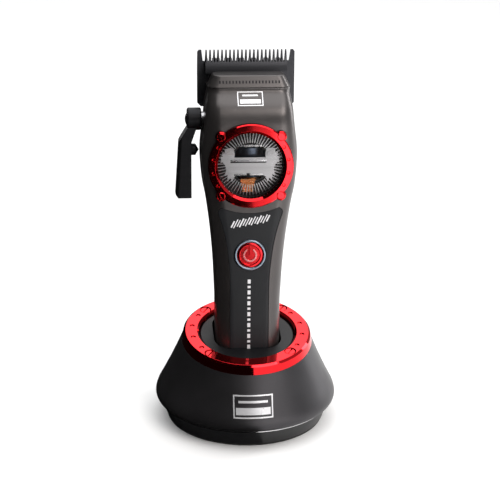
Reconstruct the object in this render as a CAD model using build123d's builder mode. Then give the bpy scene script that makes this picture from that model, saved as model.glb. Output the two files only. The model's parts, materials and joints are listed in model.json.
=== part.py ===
"""Cordless hair clipper standing in its round charging stand.

Millimetres, +Z up. The origin is the centre of the stand's rubber foot, on the table.
The clipper's face looks along -Y and its taper lever is on -X. The stand is modelled upright.
The clipper is modelled upright too, from its bottom end, and each of its pieces is then leaned
back into the stand's well by LEAN.
"""
import os
from math import cos, hypot, radians, sin

from build123d import *

os.makedirs("parts", exist_ok=True)

# ---------------------------------------------------------------- clearances
RUNNING_GAP = 0.05        # radial, shaft in a hole
SLIDE_GAP = 0.05          # between blades and on their guides
FIT_GAP = 0.12            # a loose piece in its seat
THREAD_GAP = 0.02         # radial, screw in its tapped hole
MOVE_GAP = 0.4            # between bodies that pass each other

# ---------------------------------------------------------------- stand
STAND_RIM_R = 43.5        # widest part, just above the table
STAND_RIM_Z = 12.2
STAND_EDGE_R = STAND_RIM_R - 2.1  # where the shell turns under
STAND_EDGE_Z = 9.0
STAND_WALL = 2.4
SKIRT_TOP_R = STAND_EDGE_R - 1.0
SKIRT_FOOT_R = SKIRT_TOP_R - 2.4
SKIRT_WALL = 2.4
TRIM_HEIGHT = 0.7
TRIM_GROOVE = 0.5
FOOT_THICKNESS = 1.2
FOOT_R = SKIRT_FOOT_R - 0.4
RING_R = 30.3             # coloured ring round the mouth, at its top face
RING_INNER_R = 22.9
RING_HEIGHT = 4.6
RING_FLARE = 0.9          # how much wider the ring is at its lower edge
RING_Y = -5.3
RING_Z = 45.3
RING_TILT = 10.9          # degrees, ring leans towards the front
RING_SCREW_R = 26.4       # circle of the four ring screws
RING_SCREW_HEAD_R = 2.3
RING_SCREW_SINK = 1.2
RING_BOSS_R = 2.9
RING_BOSS_DEPTH = 9.0
DIMPLE_R = 1.15
DIMPLE_DEPTH = 0.5
RING_DIMPLE_ANGLES = (-31.5, -10.5, 10.5, 31.5)
BALLAST_R = SKIRT_FOOT_R - 4.0
BALLAST_BORE_R = 22.0
BALLAST_HEIGHT = 4.4
BASE_PLATE = 1.6
BOARD_THICKNESS = 1.6
INLET_Z = 14.0
INLET_WIDTH = 9.6
INLET_HEIGHT = 7.4
INLET_LENGTH = 9.0
INLET_BORE_R = 2.75
BASE_SCREW_R = (BALLAST_R + BALLAST_BORE_R) / 2
BASE_SCREW_SINK = 0.9
CONTACT_SPACING = 9.0
CONTACT_PIN_R = 0.9
CONTACT_PAD_R = 2.3       # the clipper's own charging contacts
CONTACT_REACH = 2.0       # how far a contact pin starts below the well's floor
WELL_GAP = 0.9            # round the clipper's bottom end
WELL_FLOOR = -0.4         # below the clipper's bottom end
WELL_WALL = 1.6

# ---------------------------------------------------------------- clipper body
LEAN_DEG = 3.7
BASE_Y = -4.4             # middle of the clipper's bottom end
BASE_Z = 12.0
BODY_TOP = 151.0
GRIP_Z = 45.0             # slimmest part of the handle
BEZEL_Z = 116.7
HEAD_Z = 120.0            # widest part of the head
BROW_Z = 137.0            # where the face starts to slope back to the blade
HANDLE_HALF = 15.1
HEAD_HALF = 22.0
BROW_HALF = HEAD_HALF - 1.7
TOP_HALF = BROW_HALF - 1.4
HANDLE_FRONT = -14.3
HEAD_FRONT = -17.8
TOP_FRONT = -10.2
HANDLE_BACK = 13.6
HEAD_BACK = 14.0
TOP_BACK = 12.4
CORNER = 8.0
TOP_CORNER = 5.0
BODY_WALL = 2.2
BODY_STEPS = 20           # sections of the loft
PARTING_Y = -1.0          # plane between the front and the rear shell
END_CAP_HEIGHT = 3.0
REAR_TOP = 137.3          # rear shell ends here, below the blade
HEAD_CUT_Y = 8.3          # back of the head under the blade

# ---------------------------------------------------------------- blades and drive
BLADE_HALF = 22.6
BLADE_FRONT = 9.0
BLADE_THICKNESS = 3.0
BLADE_LOW = 139.4
BLADE_ROOT = 160.4
BLADE_TIP = 165.7
BLADE_PITCH = 1.848
BLADE_TEETH = 21
OUTER_TOOTH = 2.6
CUTTER_HALF = 19.0
CUTTER_THICKNESS = 2.7
CUTTER_LOW = 147.2
CUTTER_STEP = 155.0
CUTTER_ROOT = 160.2
CUTTER_TIP = 162.0
CUTTER_BASE_HALF = 14.0
CUTTER_PITCH = 1.4
CUTTER_TEETH = 27
BLADE_SCREW_R = 1.5
BLADE_SCREW_HEAD_R = 2.7
BLADE_SCREW_X = 8.0
BLADE_SCREW_Z = 142.4
STROKE = 1.2
TAPER_TRAVEL = 1.8
CARRIER_LOW = 139.8
CARRIER_HIGH = 144.0
CARRIER_FRONT = 3.6
CARRIER_HALF = 13.0
CAM_LOW = 144.4
CAM_HIGH = 146.8
CAM_R = 3.4
PIN_R = 1.5
PIN_TOP = 151.0
YOKE_HIGH = 150.6
NOSE_LOW = 151.2
NOSE_TOP = 156.3
NOSE_TOP_HALF = TOP_HALF - 2.7
NOSE_TOP_FRONT = -7.6
NOSE_BACK = 5.2
NOSE_CORNER = 4.5
NOSE_WALL = 1.4
SPRING_HALF = 10.4

# ---------------------------------------------------------------- taper lever
LEVER_Z = 135.3
LEVER_SWING = 60.0        # degrees
HUB_R = 5.2
HUB_OUTER = HEAD_HALF + 6.0
ARM_OUTER = HEAD_HALF + 11.6
ARM_INNER = HEAD_HALF + 4.2
ARM_LOW = 98.6
ARM_DEPTH = 8.0
LEVER_SHAFT_R = 3.3
LEVER_PIN_R = 1.2
LEVER_PIN_X = -12.0       # middle of the carrier's tab that the pin moves
LEVER_SHAFT_END = -15.4
TAB_HALF = 1.4
KNOB_Z = 121.0
KNOB_R = 2.7
CAP_R = 3.3
CAP_RISE = 1.0
CAP_STEM_R = 1.55
CAP_STEM = 1.4

# ---------------------------------------------------------------- window
BEZEL_R = 19.4
BEZEL_INNER_R = BEZEL_R - 4.2
BEZEL_PROUD = 1.7
BEZEL_SEAT = 3.6          # how deep the ring sits below the face
EAR_R = 2.5
EAR_CIRCLE_R = BEZEL_R - 0.2
BEZEL_SCREW_R = 1.8
BEZEL_SCREW_SEAT = 1.0
BEZEL_SCREW_RISE = 0.3
BEZEL_DIMPLE_R = 0.8
BEZEL_DIMPLE_CIRCLE = (BEZEL_R + BEZEL_INNER_R) / 2
BEZEL_DIMPLE_ANGLES = (-30.5, -10.3, 10.3, 30.5)
SHELF = 1.6
LENS_R = BEZEL_INNER_R + 1.5
LENS_THICKNESS = 1.1
FIN_COUNT = 60
FIN_OUTER_R = BEZEL_INNER_R - 0.3
FIN_INNER_R = FIN_OUTER_R - 4.8
FIN_HUB_R = FIN_INNER_R - 1.3
FIN_PLATE = 1.2
FIN_SLOT = 0.6
BRACKET_PLATE = 0.8
BRACKET_HALF = BEZEL_INNER_R - 1.7
BRACKET_POST_X = FIN_HUB_R + 0.4
BRACKET_POST_DZ = 4.7
BRACKET_POST_R = 1.5

# ---------------------------------------------------------------- inside the handle
BATTERY_R = 9.1
BATTERY_LENGTH = 65.0
BATTERY_LOW = 12.0
BATTERY_Y = 1.4
BOARD_HALF = 9.0
BOARD_LOW = 18.0
BOARD_HIGH = 88.0
BOARD_FRONT = -9.6
MOTOR_R = 9.6
MOTOR_Y = 0.0
MOTOR_LOW = 97.0
MOTOR_HIGH = 124.0
COIL_R = MOTOR_R + 0.9
COIL_LOW = 103.0
COIL_HIGH = 109.6
SHAFT_R = 1.2
FRAME_PLATE = 1.8
CASING_SCREW_X = 12.2
CASING_SCREW_Z = 80.0
HEAD_SCREW_X = 15.2
HEAD_SCREW_Z = 128.5
BOSS_R = 2.2
SCREW_R = 1.0
SLOT_WIDTH = 0.7          # screwdriver slots

# ---------------------------------------------------------------- face panel and button
PANEL_THICKNESS = 1.0
PANEL_INSET = 0.25
PANEL_LOW = 14.0
PANEL_TOP = 94.5          # middle of its arched upper edge
PANEL_SHOULDER = 2.6      # how far the arch rises to its corners
PANEL_SHOULDER_HALF = 13.6
PANEL_GRIP_HALF = 9.2
BUTTON_Z = 74.1
BUTTON_R = 6.0
COLLAR_R = BUTTON_R + 1.4
COLLAR_PROUD = 0.6
BUTTON_PROUD = 0.5
BUTTON_TRAVEL = 0.8
DISH_R = BUTTON_R - 1.2
SYMBOL_R = DISH_R - 1.5
SYMBOL_LINE = 0.9
SYMBOL_RISE = 0.35

# ---------------------------------------------------------------- derived places
LEAN = Location((0, BASE_Y, BASE_Z), (-LEAN_DEG, 0, 0))
WELL = Plane(LEAN)
RING_PLANE = Plane(
    origin=(0, RING_Y, RING_Z),
    x_dir=(1, 0, 0),
    z_dir=(0, -sin(radians(RING_TILT)), cos(radians(RING_TILT))),
)
RING_FOOT = RING_PLANE.offset(-RING_HEIGHT)
RING_UP = Axis(origin=(0, 0, 0), direction=RING_PLANE.z_dir)
CUTTER_BACK = BLADE_FRONT - SLIDE_GAP
CUTTER_FRONT = CUTTER_BACK - CUTTER_THICKNESS
BEZEL_FACE = HEAD_FRONT - BEZEL_PROUD
BEZEL_FLOOR = HEAD_FRONT + BEZEL_SEAT
SHELF_BACK = BEZEL_FLOOR + SHELF
FIN_FRONT = SHELF_BACK
BRACKET_FRONT = FIN_FRONT - BRACKET_PLATE
FIN_RIM_R = hypot(HEAD_SCREW_X, HEAD_SCREW_Z - BEZEL_Z) - BOSS_R - FIT_GAP
WELL_HALF_X = HANDLE_HALF + WELL_GAP
WELL_HALF_Y = (HANDLE_BACK - HANDLE_FRONT) / 2 + WELL_GAP
WELL_MID_Y = (HANDLE_BACK + HANDLE_FRONT) / 2


def front_plane(depth):
    """Plane parallel to the face at a depth; sketch x runs to -X and y up, normal to the rear."""
    return Plane(origin=(0, depth, 0), x_dir=(-1, 0, 0), z_dir=(0, 1, 0))


def side_plane(offset):
    """Plane across the clipper; sketch x runs to +Y and y up, normal to +X."""
    return Plane(origin=(offset, 0, 0), x_dir=(0, 1, 0), z_dir=(1, 0, 0))


def blend(low, high, share):
    return low + (high - low) * share


def key_sections():
    """Height, half width, front, back and corner radius at each place where the body changes."""
    climb = ((0.0, 0.0, 0.0), (0.29, 0.12, 0.3), (0.47, 0.28, 0.6),
             (0.68, 0.57, 0.93), (0.84, 0.88, 1.0), (1.0, 1.0, 1.0))
    keys = [
        (0.0, HANDLE_HALF - 0.5, HANDLE_FRONT + 0.8, HANDLE_BACK - 0.8, CORNER - 1),
        (12.0, HANDLE_HALF, HANDLE_FRONT, HANDLE_BACK, CORNER),
    ]
    for rise, widening, deepening in climb:
        keys.append((
            blend(GRIP_Z, HEAD_Z, rise),
            blend(HANDLE_HALF, HEAD_HALF, widening),
            blend(HANDLE_FRONT, HEAD_FRONT, deepening),
            blend(HANDLE_BACK, HEAD_BACK, rise),
            CORNER,
        ))
    keys.append((BROW_Z, BROW_HALF, HEAD_FRONT + 0.2, HEAD_BACK - 0.6, CORNER - 1))
    keys.append((BODY_TOP, TOP_HALF, TOP_FRONT, TOP_BACK, TOP_CORNER))
    return keys


def smooth_value(heights, values, height):
    """Value at a height on a curve through the keys that never swings past them."""
    spans = range(len(values) - 1)
    steps = [(values[i + 1] - values[i]) / (heights[i + 1] - heights[i]) for i in spans]
    slopes = [steps[0]]
    for before, after in zip(steps, steps[1:]):
        slopes.append(0.0 if before * after <= 0 else 2 * before * after / (before + after))
    slopes.append(steps[-1])
    span = max(i for i in spans if heights[i] <= height or i == 0)
    width = heights[span + 1] - heights[span]
    t = (height - heights[span]) / width
    return (
        values[span] * (2 * t**3 - 3 * t**2 + 1)
        + slopes[span] * width * (t**3 - 2 * t**2 + t)
        + values[span + 1] * (3 * t**2 - 2 * t**3)
        + slopes[span + 1] * width * (t**3 - t**2)
    )


def section_at(height):
    """Half width, front, back and corner radius of the body at a height."""
    columns = list(zip(*key_sections()))
    return [smooth_value(columns[0], column, height) for column in columns[1:]]


def body_form(inset):
    """Solid of the clipper's outer shape with every wall moved in by inset."""
    with BuildPart() as form:
        for step in range(BODY_STEPS + 1):
            height = BODY_TOP * step / BODY_STEPS
            half, front, back, corner = section_at(height)
            with BuildSketch(Plane.XY.offset(height)):
                with Locations((0, (front + back) / 2)):
                    RectangleRounded(2 * (half - inset), back - front - 2 * inset, corner - inset)
        loft()
    return form.part


BODY = body_form(0)
CAVITY = body_form(BODY_WALL)
BUTTON_FACE = section_at(BUTTON_Z)[1]
HUB_INNER = section_at(LEVER_Z - HUB_R)[0] + MOVE_GAP
COLLAR_FRONT = BUTTON_FACE - COLLAR_PROUD
COLLAR_BACK = BUTTON_FACE + PANEL_THICKNESS + PANEL_INSET


def panel_half(height_share):
    """Half width of the face panel between its waist and its shoulder."""
    return blend(PANEL_GRIP_HALF, PANEL_SHOULDER_HALF + 1.0, height_share)


def panel_outline(gap):
    """Closed outline of the face panel's pocket on the current sketch, moved in by gap."""
    top = PANEL_TOP - gap
    shoulder = top + PANEL_SHOULDER
    shoulder_half = PANEL_SHOULDER_HALF - gap
    waist = PANEL_TOP - 36
    waist_half = PANEL_GRIP_HALF - gap
    foot = PANEL_LOW + 4
    with BuildLine() as outline:
        right = [
            (panel_half(1.0) - gap, PANEL_TOP - 1.4),
            (panel_half(0.62) - gap, PANEL_TOP - 8.1),
            (panel_half(0.32) - gap, PANEL_TOP - 15.9),
            (panel_half(0.06) - gap, PANEL_TOP - 28.2),
            (waist_half, waist),
        ]
        edge = Spline(*right, tangents=[(-0.3, -1), (0, -1)])
        low = Line((waist_half, waist), (waist_half, foot))
        corner = ThreePointArc(
            right[0],
            (shoulder_half + 0.7, shoulder - 0.8),
            (shoulder_half - 0.6, shoulder),
        )
        for half_edge in (edge, low, corner):
            mirror(half_edge, about=Plane.YZ)
        ThreePointArc((waist_half, foot), (0, PANEL_LOW + gap), (-waist_half, foot))
        ThreePointArc((shoulder_half - 0.6, shoulder), (0, top), (0.6 - shoulder_half, shoulder))
    make_face(outline.edges())


# ================================================================ the stand
def stand_form(inset):
    """Round body of the stand, from its turned-under edge up to the coloured ring."""
    middle = Plane(
        origin=(0, RING_Y * 0.45, blend(STAND_RIM_Z + 4, RING_Z - RING_HEIGHT, 0.5)),
        x_dir=(1, 0, 0),
        z_dir=(0, -sin(radians(RING_TILT * 0.5)), cos(radians(RING_TILT * 0.5))),
    )
    shoulder_r = STAND_RIM_R - 0.9
    middle_r = blend(shoulder_r, RING_R + RING_FLARE, 0.5) - 0.4
    with BuildPart() as form:
        with BuildSketch(Plane.XY.offset(STAND_RIM_Z + 4)):
            Circle(shoulder_r - inset)
        with BuildSketch(middle):
            Circle(middle_r - inset)
        with BuildSketch(RING_FOOT):
            Circle(RING_R + RING_FLARE - inset)
        loft()
        with BuildSketch(Plane.XZ):
            with BuildLine():
                Polyline(
                    (0, STAND_RIM_Z + 4),
                    (0, STAND_EDGE_Z),
                    (STAND_EDGE_R - inset, STAND_EDGE_Z),
                )
                Spline(
                    (STAND_EDGE_R - inset, STAND_EDGE_Z),
                    (STAND_RIM_R - inset, STAND_RIM_Z),
                    (shoulder_r - inset, STAND_RIM_Z + 4),
                    tangents=[(1, 0.6), (-0.36, 1)],
                )
                Line((shoulder_r - inset, STAND_RIM_Z + 4), (0, STAND_RIM_Z + 4))
            make_face()
        revolve(axis=Axis.Z)
    return form.part


with BuildPart() as inlet_hole_form:
    with BuildSketch(Plane.XZ.offset(-STAND_RIM_R - 4)):
        with Locations((0, INLET_Z)):
            RectangleRounded(INLET_WIDTH + 2 * FIT_GAP, INLET_HEIGHT + 2 * FIT_GAP, 1.0)
    extrude(amount=22)
INLET_HOLE = inlet_hole_form.part

with BuildPart() as stand_shell:
    add(stand_form(0))
    add(stand_form(STAND_WALL), mode=Mode.SUBTRACT)
    with BuildSketch(Plane.XY.offset(STAND_EDGE_Z)):
        Circle(STAND_EDGE_R - STAND_WALL)
    extrude(amount=0.02, both=True, mode=Mode.SUBTRACT)
    with BuildSketch(RING_FOOT):
        Circle(RING_R + RING_FLARE - STAND_WALL)
    extrude(amount=3, both=True, mode=Mode.SUBTRACT)
    add(INLET_HOLE, mode=Mode.SUBTRACT)
    with BuildSketch(RING_FOOT):
        with PolarLocations(RING_SCREW_R, 4, start_angle=45):
            Circle(RING_BOSS_R)
    extrude(amount=-RING_BOSS_DEPTH)
    with BuildSketch(RING_FOOT):
        with PolarLocations(RING_SCREW_R, 4, start_angle=45):
            Circle(SCREW_R)
    extrude(amount=-RING_BOSS_DEPTH + 1, mode=Mode.SUBTRACT)
stand_shell.part.label = "stand_shell"
export_step(stand_shell.part, "parts/stand_shell.step")

with BuildPart() as skirt_trim:
    with BuildSketch(Plane.XY.offset(STAND_EDGE_Z - TRIM_HEIGHT)):
        Circle(STAND_EDGE_R - TRIM_GROOVE)
        Circle(STAND_EDGE_R - STAND_WALL - 1.5, mode=Mode.SUBTRACT)
    extrude(amount=TRIM_HEIGHT)
    chamfer(skirt_trim.edges().filter_by(GeomType.CIRCLE).sort_by(SortBy.RADIUS)[-2:], 0.15)
skirt_trim.part.label = "skirt_trim"
export_step(skirt_trim.part, "parts/skirt_trim.step")

SKIRT_TOP_Z = STAND_EDGE_Z - TRIM_HEIGHT
with BuildPart() as stand_skirt:
    with BuildSketch(Plane.XZ):
        with BuildLine():
            Polyline(
                (0, FOOT_THICKNESS),
                (SKIRT_FOOT_R, FOOT_THICKNESS),
                (SKIRT_TOP_R, SKIRT_TOP_Z),
                (SKIRT_TOP_R - SKIRT_WALL, SKIRT_TOP_Z),
                (SKIRT_FOOT_R - SKIRT_WALL, FOOT_THICKNESS + BASE_PLATE),
                (0, FOOT_THICKNESS + BASE_PLATE),
                close=True,
            )
        make_face()
    revolve(axis=Axis.Z)
    with BuildSketch(Plane.XY.offset(FOOT_THICKNESS)):
        with PolarLocations(BASE_SCREW_R, 4, start_angle=45):
            Circle(SCREW_R + FIT_GAP)
    extrude(amount=BASE_PLATE, mode=Mode.SUBTRACT)
    with BuildSketch(Plane.XY.offset(FOOT_THICKNESS)):
        with PolarLocations(BASE_SCREW_R, 4, start_angle=45):
            Circle(BOSS_R + FIT_GAP)
    extrude(amount=BASE_SCREW_SINK, mode=Mode.SUBTRACT)
stand_skirt.part.label = "stand_skirt"
export_step(stand_skirt.part, "parts/stand_skirt.step")

with BuildPart() as foot_pad:
    with BuildSketch(Plane.XY):
        Circle(FOOT_R)
    extrude(amount=FOOT_THICKNESS)
    chamfer(foot_pad.edges().group_by(Axis.Z)[0], 0.3)
foot_pad.part.label = "foot_pad"
export_step(foot_pad.part, "parts/foot_pad.step")

BALLAST_LOW = FOOT_THICKNESS + BASE_PLATE
with BuildPart() as ballast_weight:
    with BuildSketch(Plane.XY.offset(BALLAST_LOW)):
        Circle(BALLAST_R)
        Circle(BALLAST_BORE_R, mode=Mode.SUBTRACT)
        with PolarLocations(BASE_SCREW_R, 4, start_angle=45):
            Circle(SCREW_R, mode=Mode.SUBTRACT)
    extrude(amount=BALLAST_HEIGHT)
ballast_weight.part.label = "ballast_weight"
export_step(ballast_weight.part, "parts/ballast_weight.step")

with BuildPart() as ballast_screws:
    with BuildSketch(Plane.XY.offset(FOOT_THICKNESS)):
        with PolarLocations(BASE_SCREW_R, 4, start_angle=45):
            Circle(BOSS_R)
    extrude(amount=BASE_SCREW_SINK)
    with BuildSketch(Plane.XY.offset(FOOT_THICKNESS + BASE_SCREW_SINK)):
        with PolarLocations(BASE_SCREW_R, 4, start_angle=45):
            Circle(SCREW_R - THREAD_GAP)
    extrude(amount=BASE_PLATE + BALLAST_HEIGHT - BASE_SCREW_SINK - 0.6)
ballast_screws.part.label = "ballast_screws"
export_step(ballast_screws.part, "parts/ballast_screws.step")

CHARGE_BOARD_Z = BALLAST_LOW + 1.2
with BuildPart() as charge_board:
    with BuildSketch(Plane.XY.offset(CHARGE_BOARD_Z)):
        with Locations((0, BASE_Y)):
            RectangleRounded(26, 22, 1.5)
    extrude(amount=BOARD_THICKNESS)
    with BuildSketch(Plane.XY.offset(BALLAST_LOW)):
        with Locations((0, BASE_Y)):
            with GridLocations(20, 16, 2, 2):
                Circle(1.4)
    extrude(amount=CHARGE_BOARD_Z - BALLAST_LOW)
charge_board.part.label = "charge_board"
export_step(charge_board.part, "parts/charge_board.step")


def well_section(grow):
    with Locations((0, WELL_MID_Y)):
        RectangleRounded(2 * (WELL_HALF_X + grow), 2 * (WELL_HALF_Y + grow), CORNER + WELL_GAP + grow)


DISH_PLANE = RING_PLANE.offset(-3.4)
with BuildPart() as well_block:
    with BuildSketch(WELL.offset(WELL_FLOOR - WELL_WALL)):
        well_section(WELL_WALL)
    extrude(amount=60)
    split(bisect_by=DISH_PLANE.offset(-0.6), keep=Keep.BOTTOM)

with BuildPart() as socket_cup:
    with BuildSketch(RING_PLANE.offset(-RING_HEIGHT)):
        Circle(RING_INNER_R - FIT_GAP)
    extrude(amount=2.6)
    chamfer(socket_cup.faces().sort_by(RING_UP)[-1].edges(), 0.8)
    add(well_block.part)
    with BuildSketch(WELL.offset(WELL_FLOOR)):
        well_section(0)
    extrude(amount=60, mode=Mode.SUBTRACT)
    with BuildSketch(WELL.offset(WELL_FLOOR - WELL_WALL)):
        with GridLocations(CONTACT_SPACING, 1, 2, 1):
            Circle(CONTACT_PIN_R + RUNNING_GAP)
    extrude(amount=WELL_WALL, mode=Mode.SUBTRACT)
socket_cup.part.label = "socket_cup"
export_step(socket_cup.part, "parts/socket_cup.step")

with BuildPart() as contact_housing:
    with BuildSketch(WELL.offset(WELL_FLOOR - WELL_WALL)):
        RectangleRounded(CONTACT_SPACING + 6, 6, 1.0)
    extrude(amount=-4.2)
    with BuildSketch(WELL.offset(WELL_FLOOR - WELL_WALL)):
        with GridLocations(CONTACT_SPACING, 1, 2, 1):
            Circle(CONTACT_PIN_R + 0.3)
    extrude(amount=-3.2, mode=Mode.SUBTRACT)
contact_housing.part.label = "contact_housing"
export_step(contact_housing.part, "parts/contact_housing.step")

for side, label in ((-1, "contact_pin_left"), (1, "contact_pin_right")):
    with BuildPart() as contact_pin:
        with BuildSketch(WELL.offset(WELL_FLOOR - WELL_WALL - CONTACT_REACH)):
            with Locations((side * CONTACT_SPACING / 2, 0)):
                Circle(CONTACT_PIN_R)
        extrude(amount=WELL_WALL + CONTACT_REACH - WELL_FLOOR - SLIDE_GAP)
        chamfer(contact_pin.faces().sort_by(Axis.Z)[-1].edges(), 0.3)
    contact_pin.part.label = label
    export_step(contact_pin.part, f"parts/{label}.step")

with BuildPart() as power_inlet:
    with BuildSketch(Plane.XZ.offset(-STAND_RIM_R + 0.9)):
        with Locations((0, INLET_Z)):
            RectangleRounded(INLET_WIDTH, INLET_HEIGHT, 0.9)
    extrude(amount=INLET_LENGTH)
    with BuildSketch(Plane.XZ.offset(-STAND_RIM_R + 0.9)):
        with Locations((0, INLET_Z)):
            Circle(INLET_BORE_R)
            Circle(0.6, mode=Mode.SUBTRACT)
    extrude(amount=INLET_LENGTH - 1.5, mode=Mode.SUBTRACT)
power_inlet.part.label = "power_inlet"
export_step(power_inlet.part, "parts/power_inlet.step")


with BuildPart() as stand_ring:
    with BuildSketch(RING_FOOT):
        Circle(RING_R + RING_FLARE)
    with BuildSketch(RING_PLANE):
        Circle(RING_R)
    loft()
    chamfer(stand_ring.faces().sort_by(RING_UP)[-1].edges(), 0.9)
    with BuildSketch(RING_FOOT):
        Circle(RING_INNER_R)
    extrude(amount=RING_HEIGHT + 1, mode=Mode.SUBTRACT)
    chamfer(stand_ring.faces().sort_by(RING_UP)[-1].edges().sort_by(SortBy.LENGTH)[0], 1.0)
    with BuildSketch(RING_PLANE):
        with PolarLocations(RING_SCREW_R, 4, start_angle=45):
            Circle(RING_SCREW_HEAD_R + 0.5)
    extrude(amount=-RING_SCREW_SINK, mode=Mode.SUBTRACT)
    with BuildSketch(RING_PLANE):
        with PolarLocations(RING_SCREW_R, 4, start_angle=45):
            Circle(SCREW_R + FIT_GAP)
    extrude(amount=-RING_HEIGHT, mode=Mode.SUBTRACT)
    for side in (0, 180):
        for angle in RING_DIMPLE_ANGLES:
            with BuildSketch(RING_PLANE):
                with PolarLocations(RING_SCREW_R, 1, start_angle=side + angle):
                    Circle(DIMPLE_R)
            extrude(amount=-DIMPLE_DEPTH, taper=30, mode=Mode.SUBTRACT)
stand_ring.part.label = "stand_ring"
export_step(stand_ring.part, "parts/stand_ring.step")

with BuildPart() as ring_screws:
    with BuildSketch(RING_PLANE.offset(-RING_SCREW_SINK)):
        with PolarLocations(RING_SCREW_R, 4, start_angle=45):
            Circle(RING_SCREW_HEAD_R)
    extrude(amount=RING_SCREW_SINK - 0.3)
    with BuildSketch(RING_PLANE.offset(-RING_SCREW_SINK)):
        with PolarLocations(RING_SCREW_R, 4, start_angle=45):
            Circle(SCREW_R - THREAD_GAP)
    extrude(amount=-RING_HEIGHT - 2)
    with BuildSketch(RING_PLANE.offset(-0.3)):
        with PolarLocations(RING_SCREW_R, 4, start_angle=45, rotate=False):
            Rectangle(4 * RING_SCREW_HEAD_R, SLOT_WIDTH, rotation=60)
    extrude(amount=-0.5, mode=Mode.SUBTRACT)
ring_screws.part.label = "ring_screws"
export_step(ring_screws.part, "parts/ring_screws.step")


# ================================================================ the clipper's casing
def bezel_outline(grow):
    """Round bezel with its four screw ears, on a sketch whose origin is the window's centre."""
    Circle(BEZEL_R + grow)
    with PolarLocations(EAR_CIRCLE_R, 4, start_angle=45):
        Circle(EAR_R + grow)


def window_plane(depth):
    """Plane parallel to the face with its origin on the window's centre line."""
    return Plane(origin=(0, depth, BEZEL_Z), x_dir=(-1, 0, 0), z_dir=(0, 1, 0))


def screw_places(*places):
    """Mirror pairs of (x, z) places onto both sides of the middle plane."""
    return [(side * x, z) for x, z in places for side in (-1, 1)]


CASING_SCREWS = screw_places((CASING_SCREW_X, CASING_SCREW_Z), (HEAD_SCREW_X, HEAD_SCREW_Z))
SCREW_SEAT = 2.4          # depth of the counterbore of each casing screw
BOSS_FRONT = -9.0

with BuildPart() as panel_prism:
    with BuildSketch(front_plane(HEAD_FRONT - 3)):
        panel_outline(FIT_GAP)
    extrude(amount=14)

with BuildPart() as panel_pocket:
    with BuildSketch(front_plane(HEAD_FRONT - 3)):
        panel_outline(0)
    extrude(amount=14)
    add(BODY.moved(Location((0, PANEL_THICKNESS + PANEL_INSET + FIT_GAP, 0))), mode=Mode.SUBTRACT)


with BuildPart() as bezel_shelf:
    with BuildSketch(window_plane(BEZEL_FLOOR)):
        Circle(BEZEL_R + 1.8)
    extrude(amount=SHELF)
    add(BODY, mode=Mode.INTERSECT)

with BuildPart() as casing_bosses:
    with BuildSketch(front_plane(HEAD_FRONT)):
        with Locations([(-x, z) for x, z in CASING_SCREWS]):
            Circle(BOSS_R)
    extrude(amount=HEAD_BACK - HEAD_FRONT)
    add(BODY, mode=Mode.INTERSECT)

with BuildPart() as lever_bore:
    with BuildSketch(side_plane(-HEAD_HALF - 2)):
        with Locations((0, LEVER_Z)):
            Circle(LEVER_SHAFT_R + RUNNING_GAP)
    extrude(amount=12)

with BuildPart() as front_shell:
    add(BODY)
    add(CAVITY, mode=Mode.SUBTRACT)
    add(bezel_shelf.part)
    add(casing_bosses.part)
    split(bisect_by=Plane.XZ.offset(-PARTING_Y), keep=Keep.TOP)
    split(bisect_by=Plane.XY.offset(END_CAP_HEIGHT), keep=Keep.TOP)
    with BuildSketch(window_plane(HEAD_FRONT - 4)):
        bezel_outline(FIT_GAP)
    extrude(amount=4 + BEZEL_SEAT, mode=Mode.SUBTRACT)
    with BuildSketch(window_plane(HEAD_FRONT)):
        Circle(BEZEL_INNER_R + 0.1)
    extrude(amount=BEZEL_SEAT + SHELF + 1, mode=Mode.SUBTRACT)
    with BuildSketch(window_plane(BEZEL_FLOOR)):
        with PolarLocations(EAR_CIRCLE_R, 4, start_angle=45):
            Circle(SCREW_R)
    extrude(amount=SHELF + 1, mode=Mode.SUBTRACT)
    add(panel_pocket.part, mode=Mode.SUBTRACT)
    with BuildSketch(front_plane(COLLAR_BACK)):
        with Locations((0, BUTTON_Z)):
            Circle(COLLAR_R + FIT_GAP)
    extrude(amount=-4, mode=Mode.SUBTRACT)
    with BuildSketch(front_plane(COLLAR_BACK)):
        with Locations((0, BUTTON_Z)):
            Circle(BUTTON_R + 0.3)
    extrude(amount=5, mode=Mode.SUBTRACT)
    with BuildSketch(front_plane(BOSS_FRONT)):
        with Locations([(-x, z) for x, z in CASING_SCREWS]):
            Circle(SCREW_R)
    extrude(amount=PARTING_Y - BOSS_FRONT, mode=Mode.SUBTRACT)
    add(lever_bore.part, mode=Mode.SUBTRACT)
front_shell.part.label = "front_shell"
export_step(front_shell.part.moved(LEAN), "parts/front_shell.step")

with BuildPart() as rear_shell:
    add(BODY)
    add(CAVITY, mode=Mode.SUBTRACT)
    add(casing_bosses.part)
    split(bisect_by=Plane.XZ.offset(-PARTING_Y), keep=Keep.BOTTOM)
    split(bisect_by=Plane.XY.offset(END_CAP_HEIGHT), keep=Keep.TOP)
    with BuildSketch(Plane.XY.offset(REAR_TOP)):
        with Locations((0, HEAD_CUT_Y + 10)):
            Rectangle(4 * HEAD_HALF, 20)
    extrude(amount=BODY_TOP, mode=Mode.SUBTRACT)
    with BuildSketch(front_plane(PARTING_Y)):
        with Locations([(-x, z) for x, z in CASING_SCREWS]):
            Circle(SCREW_R + FIT_GAP)
    extrude(amount=HEAD_BACK, mode=Mode.SUBTRACT)
    with BuildSketch(front_plane(HANDLE_BACK - SCREW_SEAT)):
        with Locations([(-x, z) for x, z in CASING_SCREWS]):
            Circle(BOSS_R - 0.3)
    extrude(amount=HEAD_BACK, mode=Mode.SUBTRACT)
    add(lever_bore.part, mode=Mode.SUBTRACT)
rear_shell.part.label = "rear_shell"
export_step(rear_shell.part.moved(LEAN), "parts/rear_shell.step")

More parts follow.
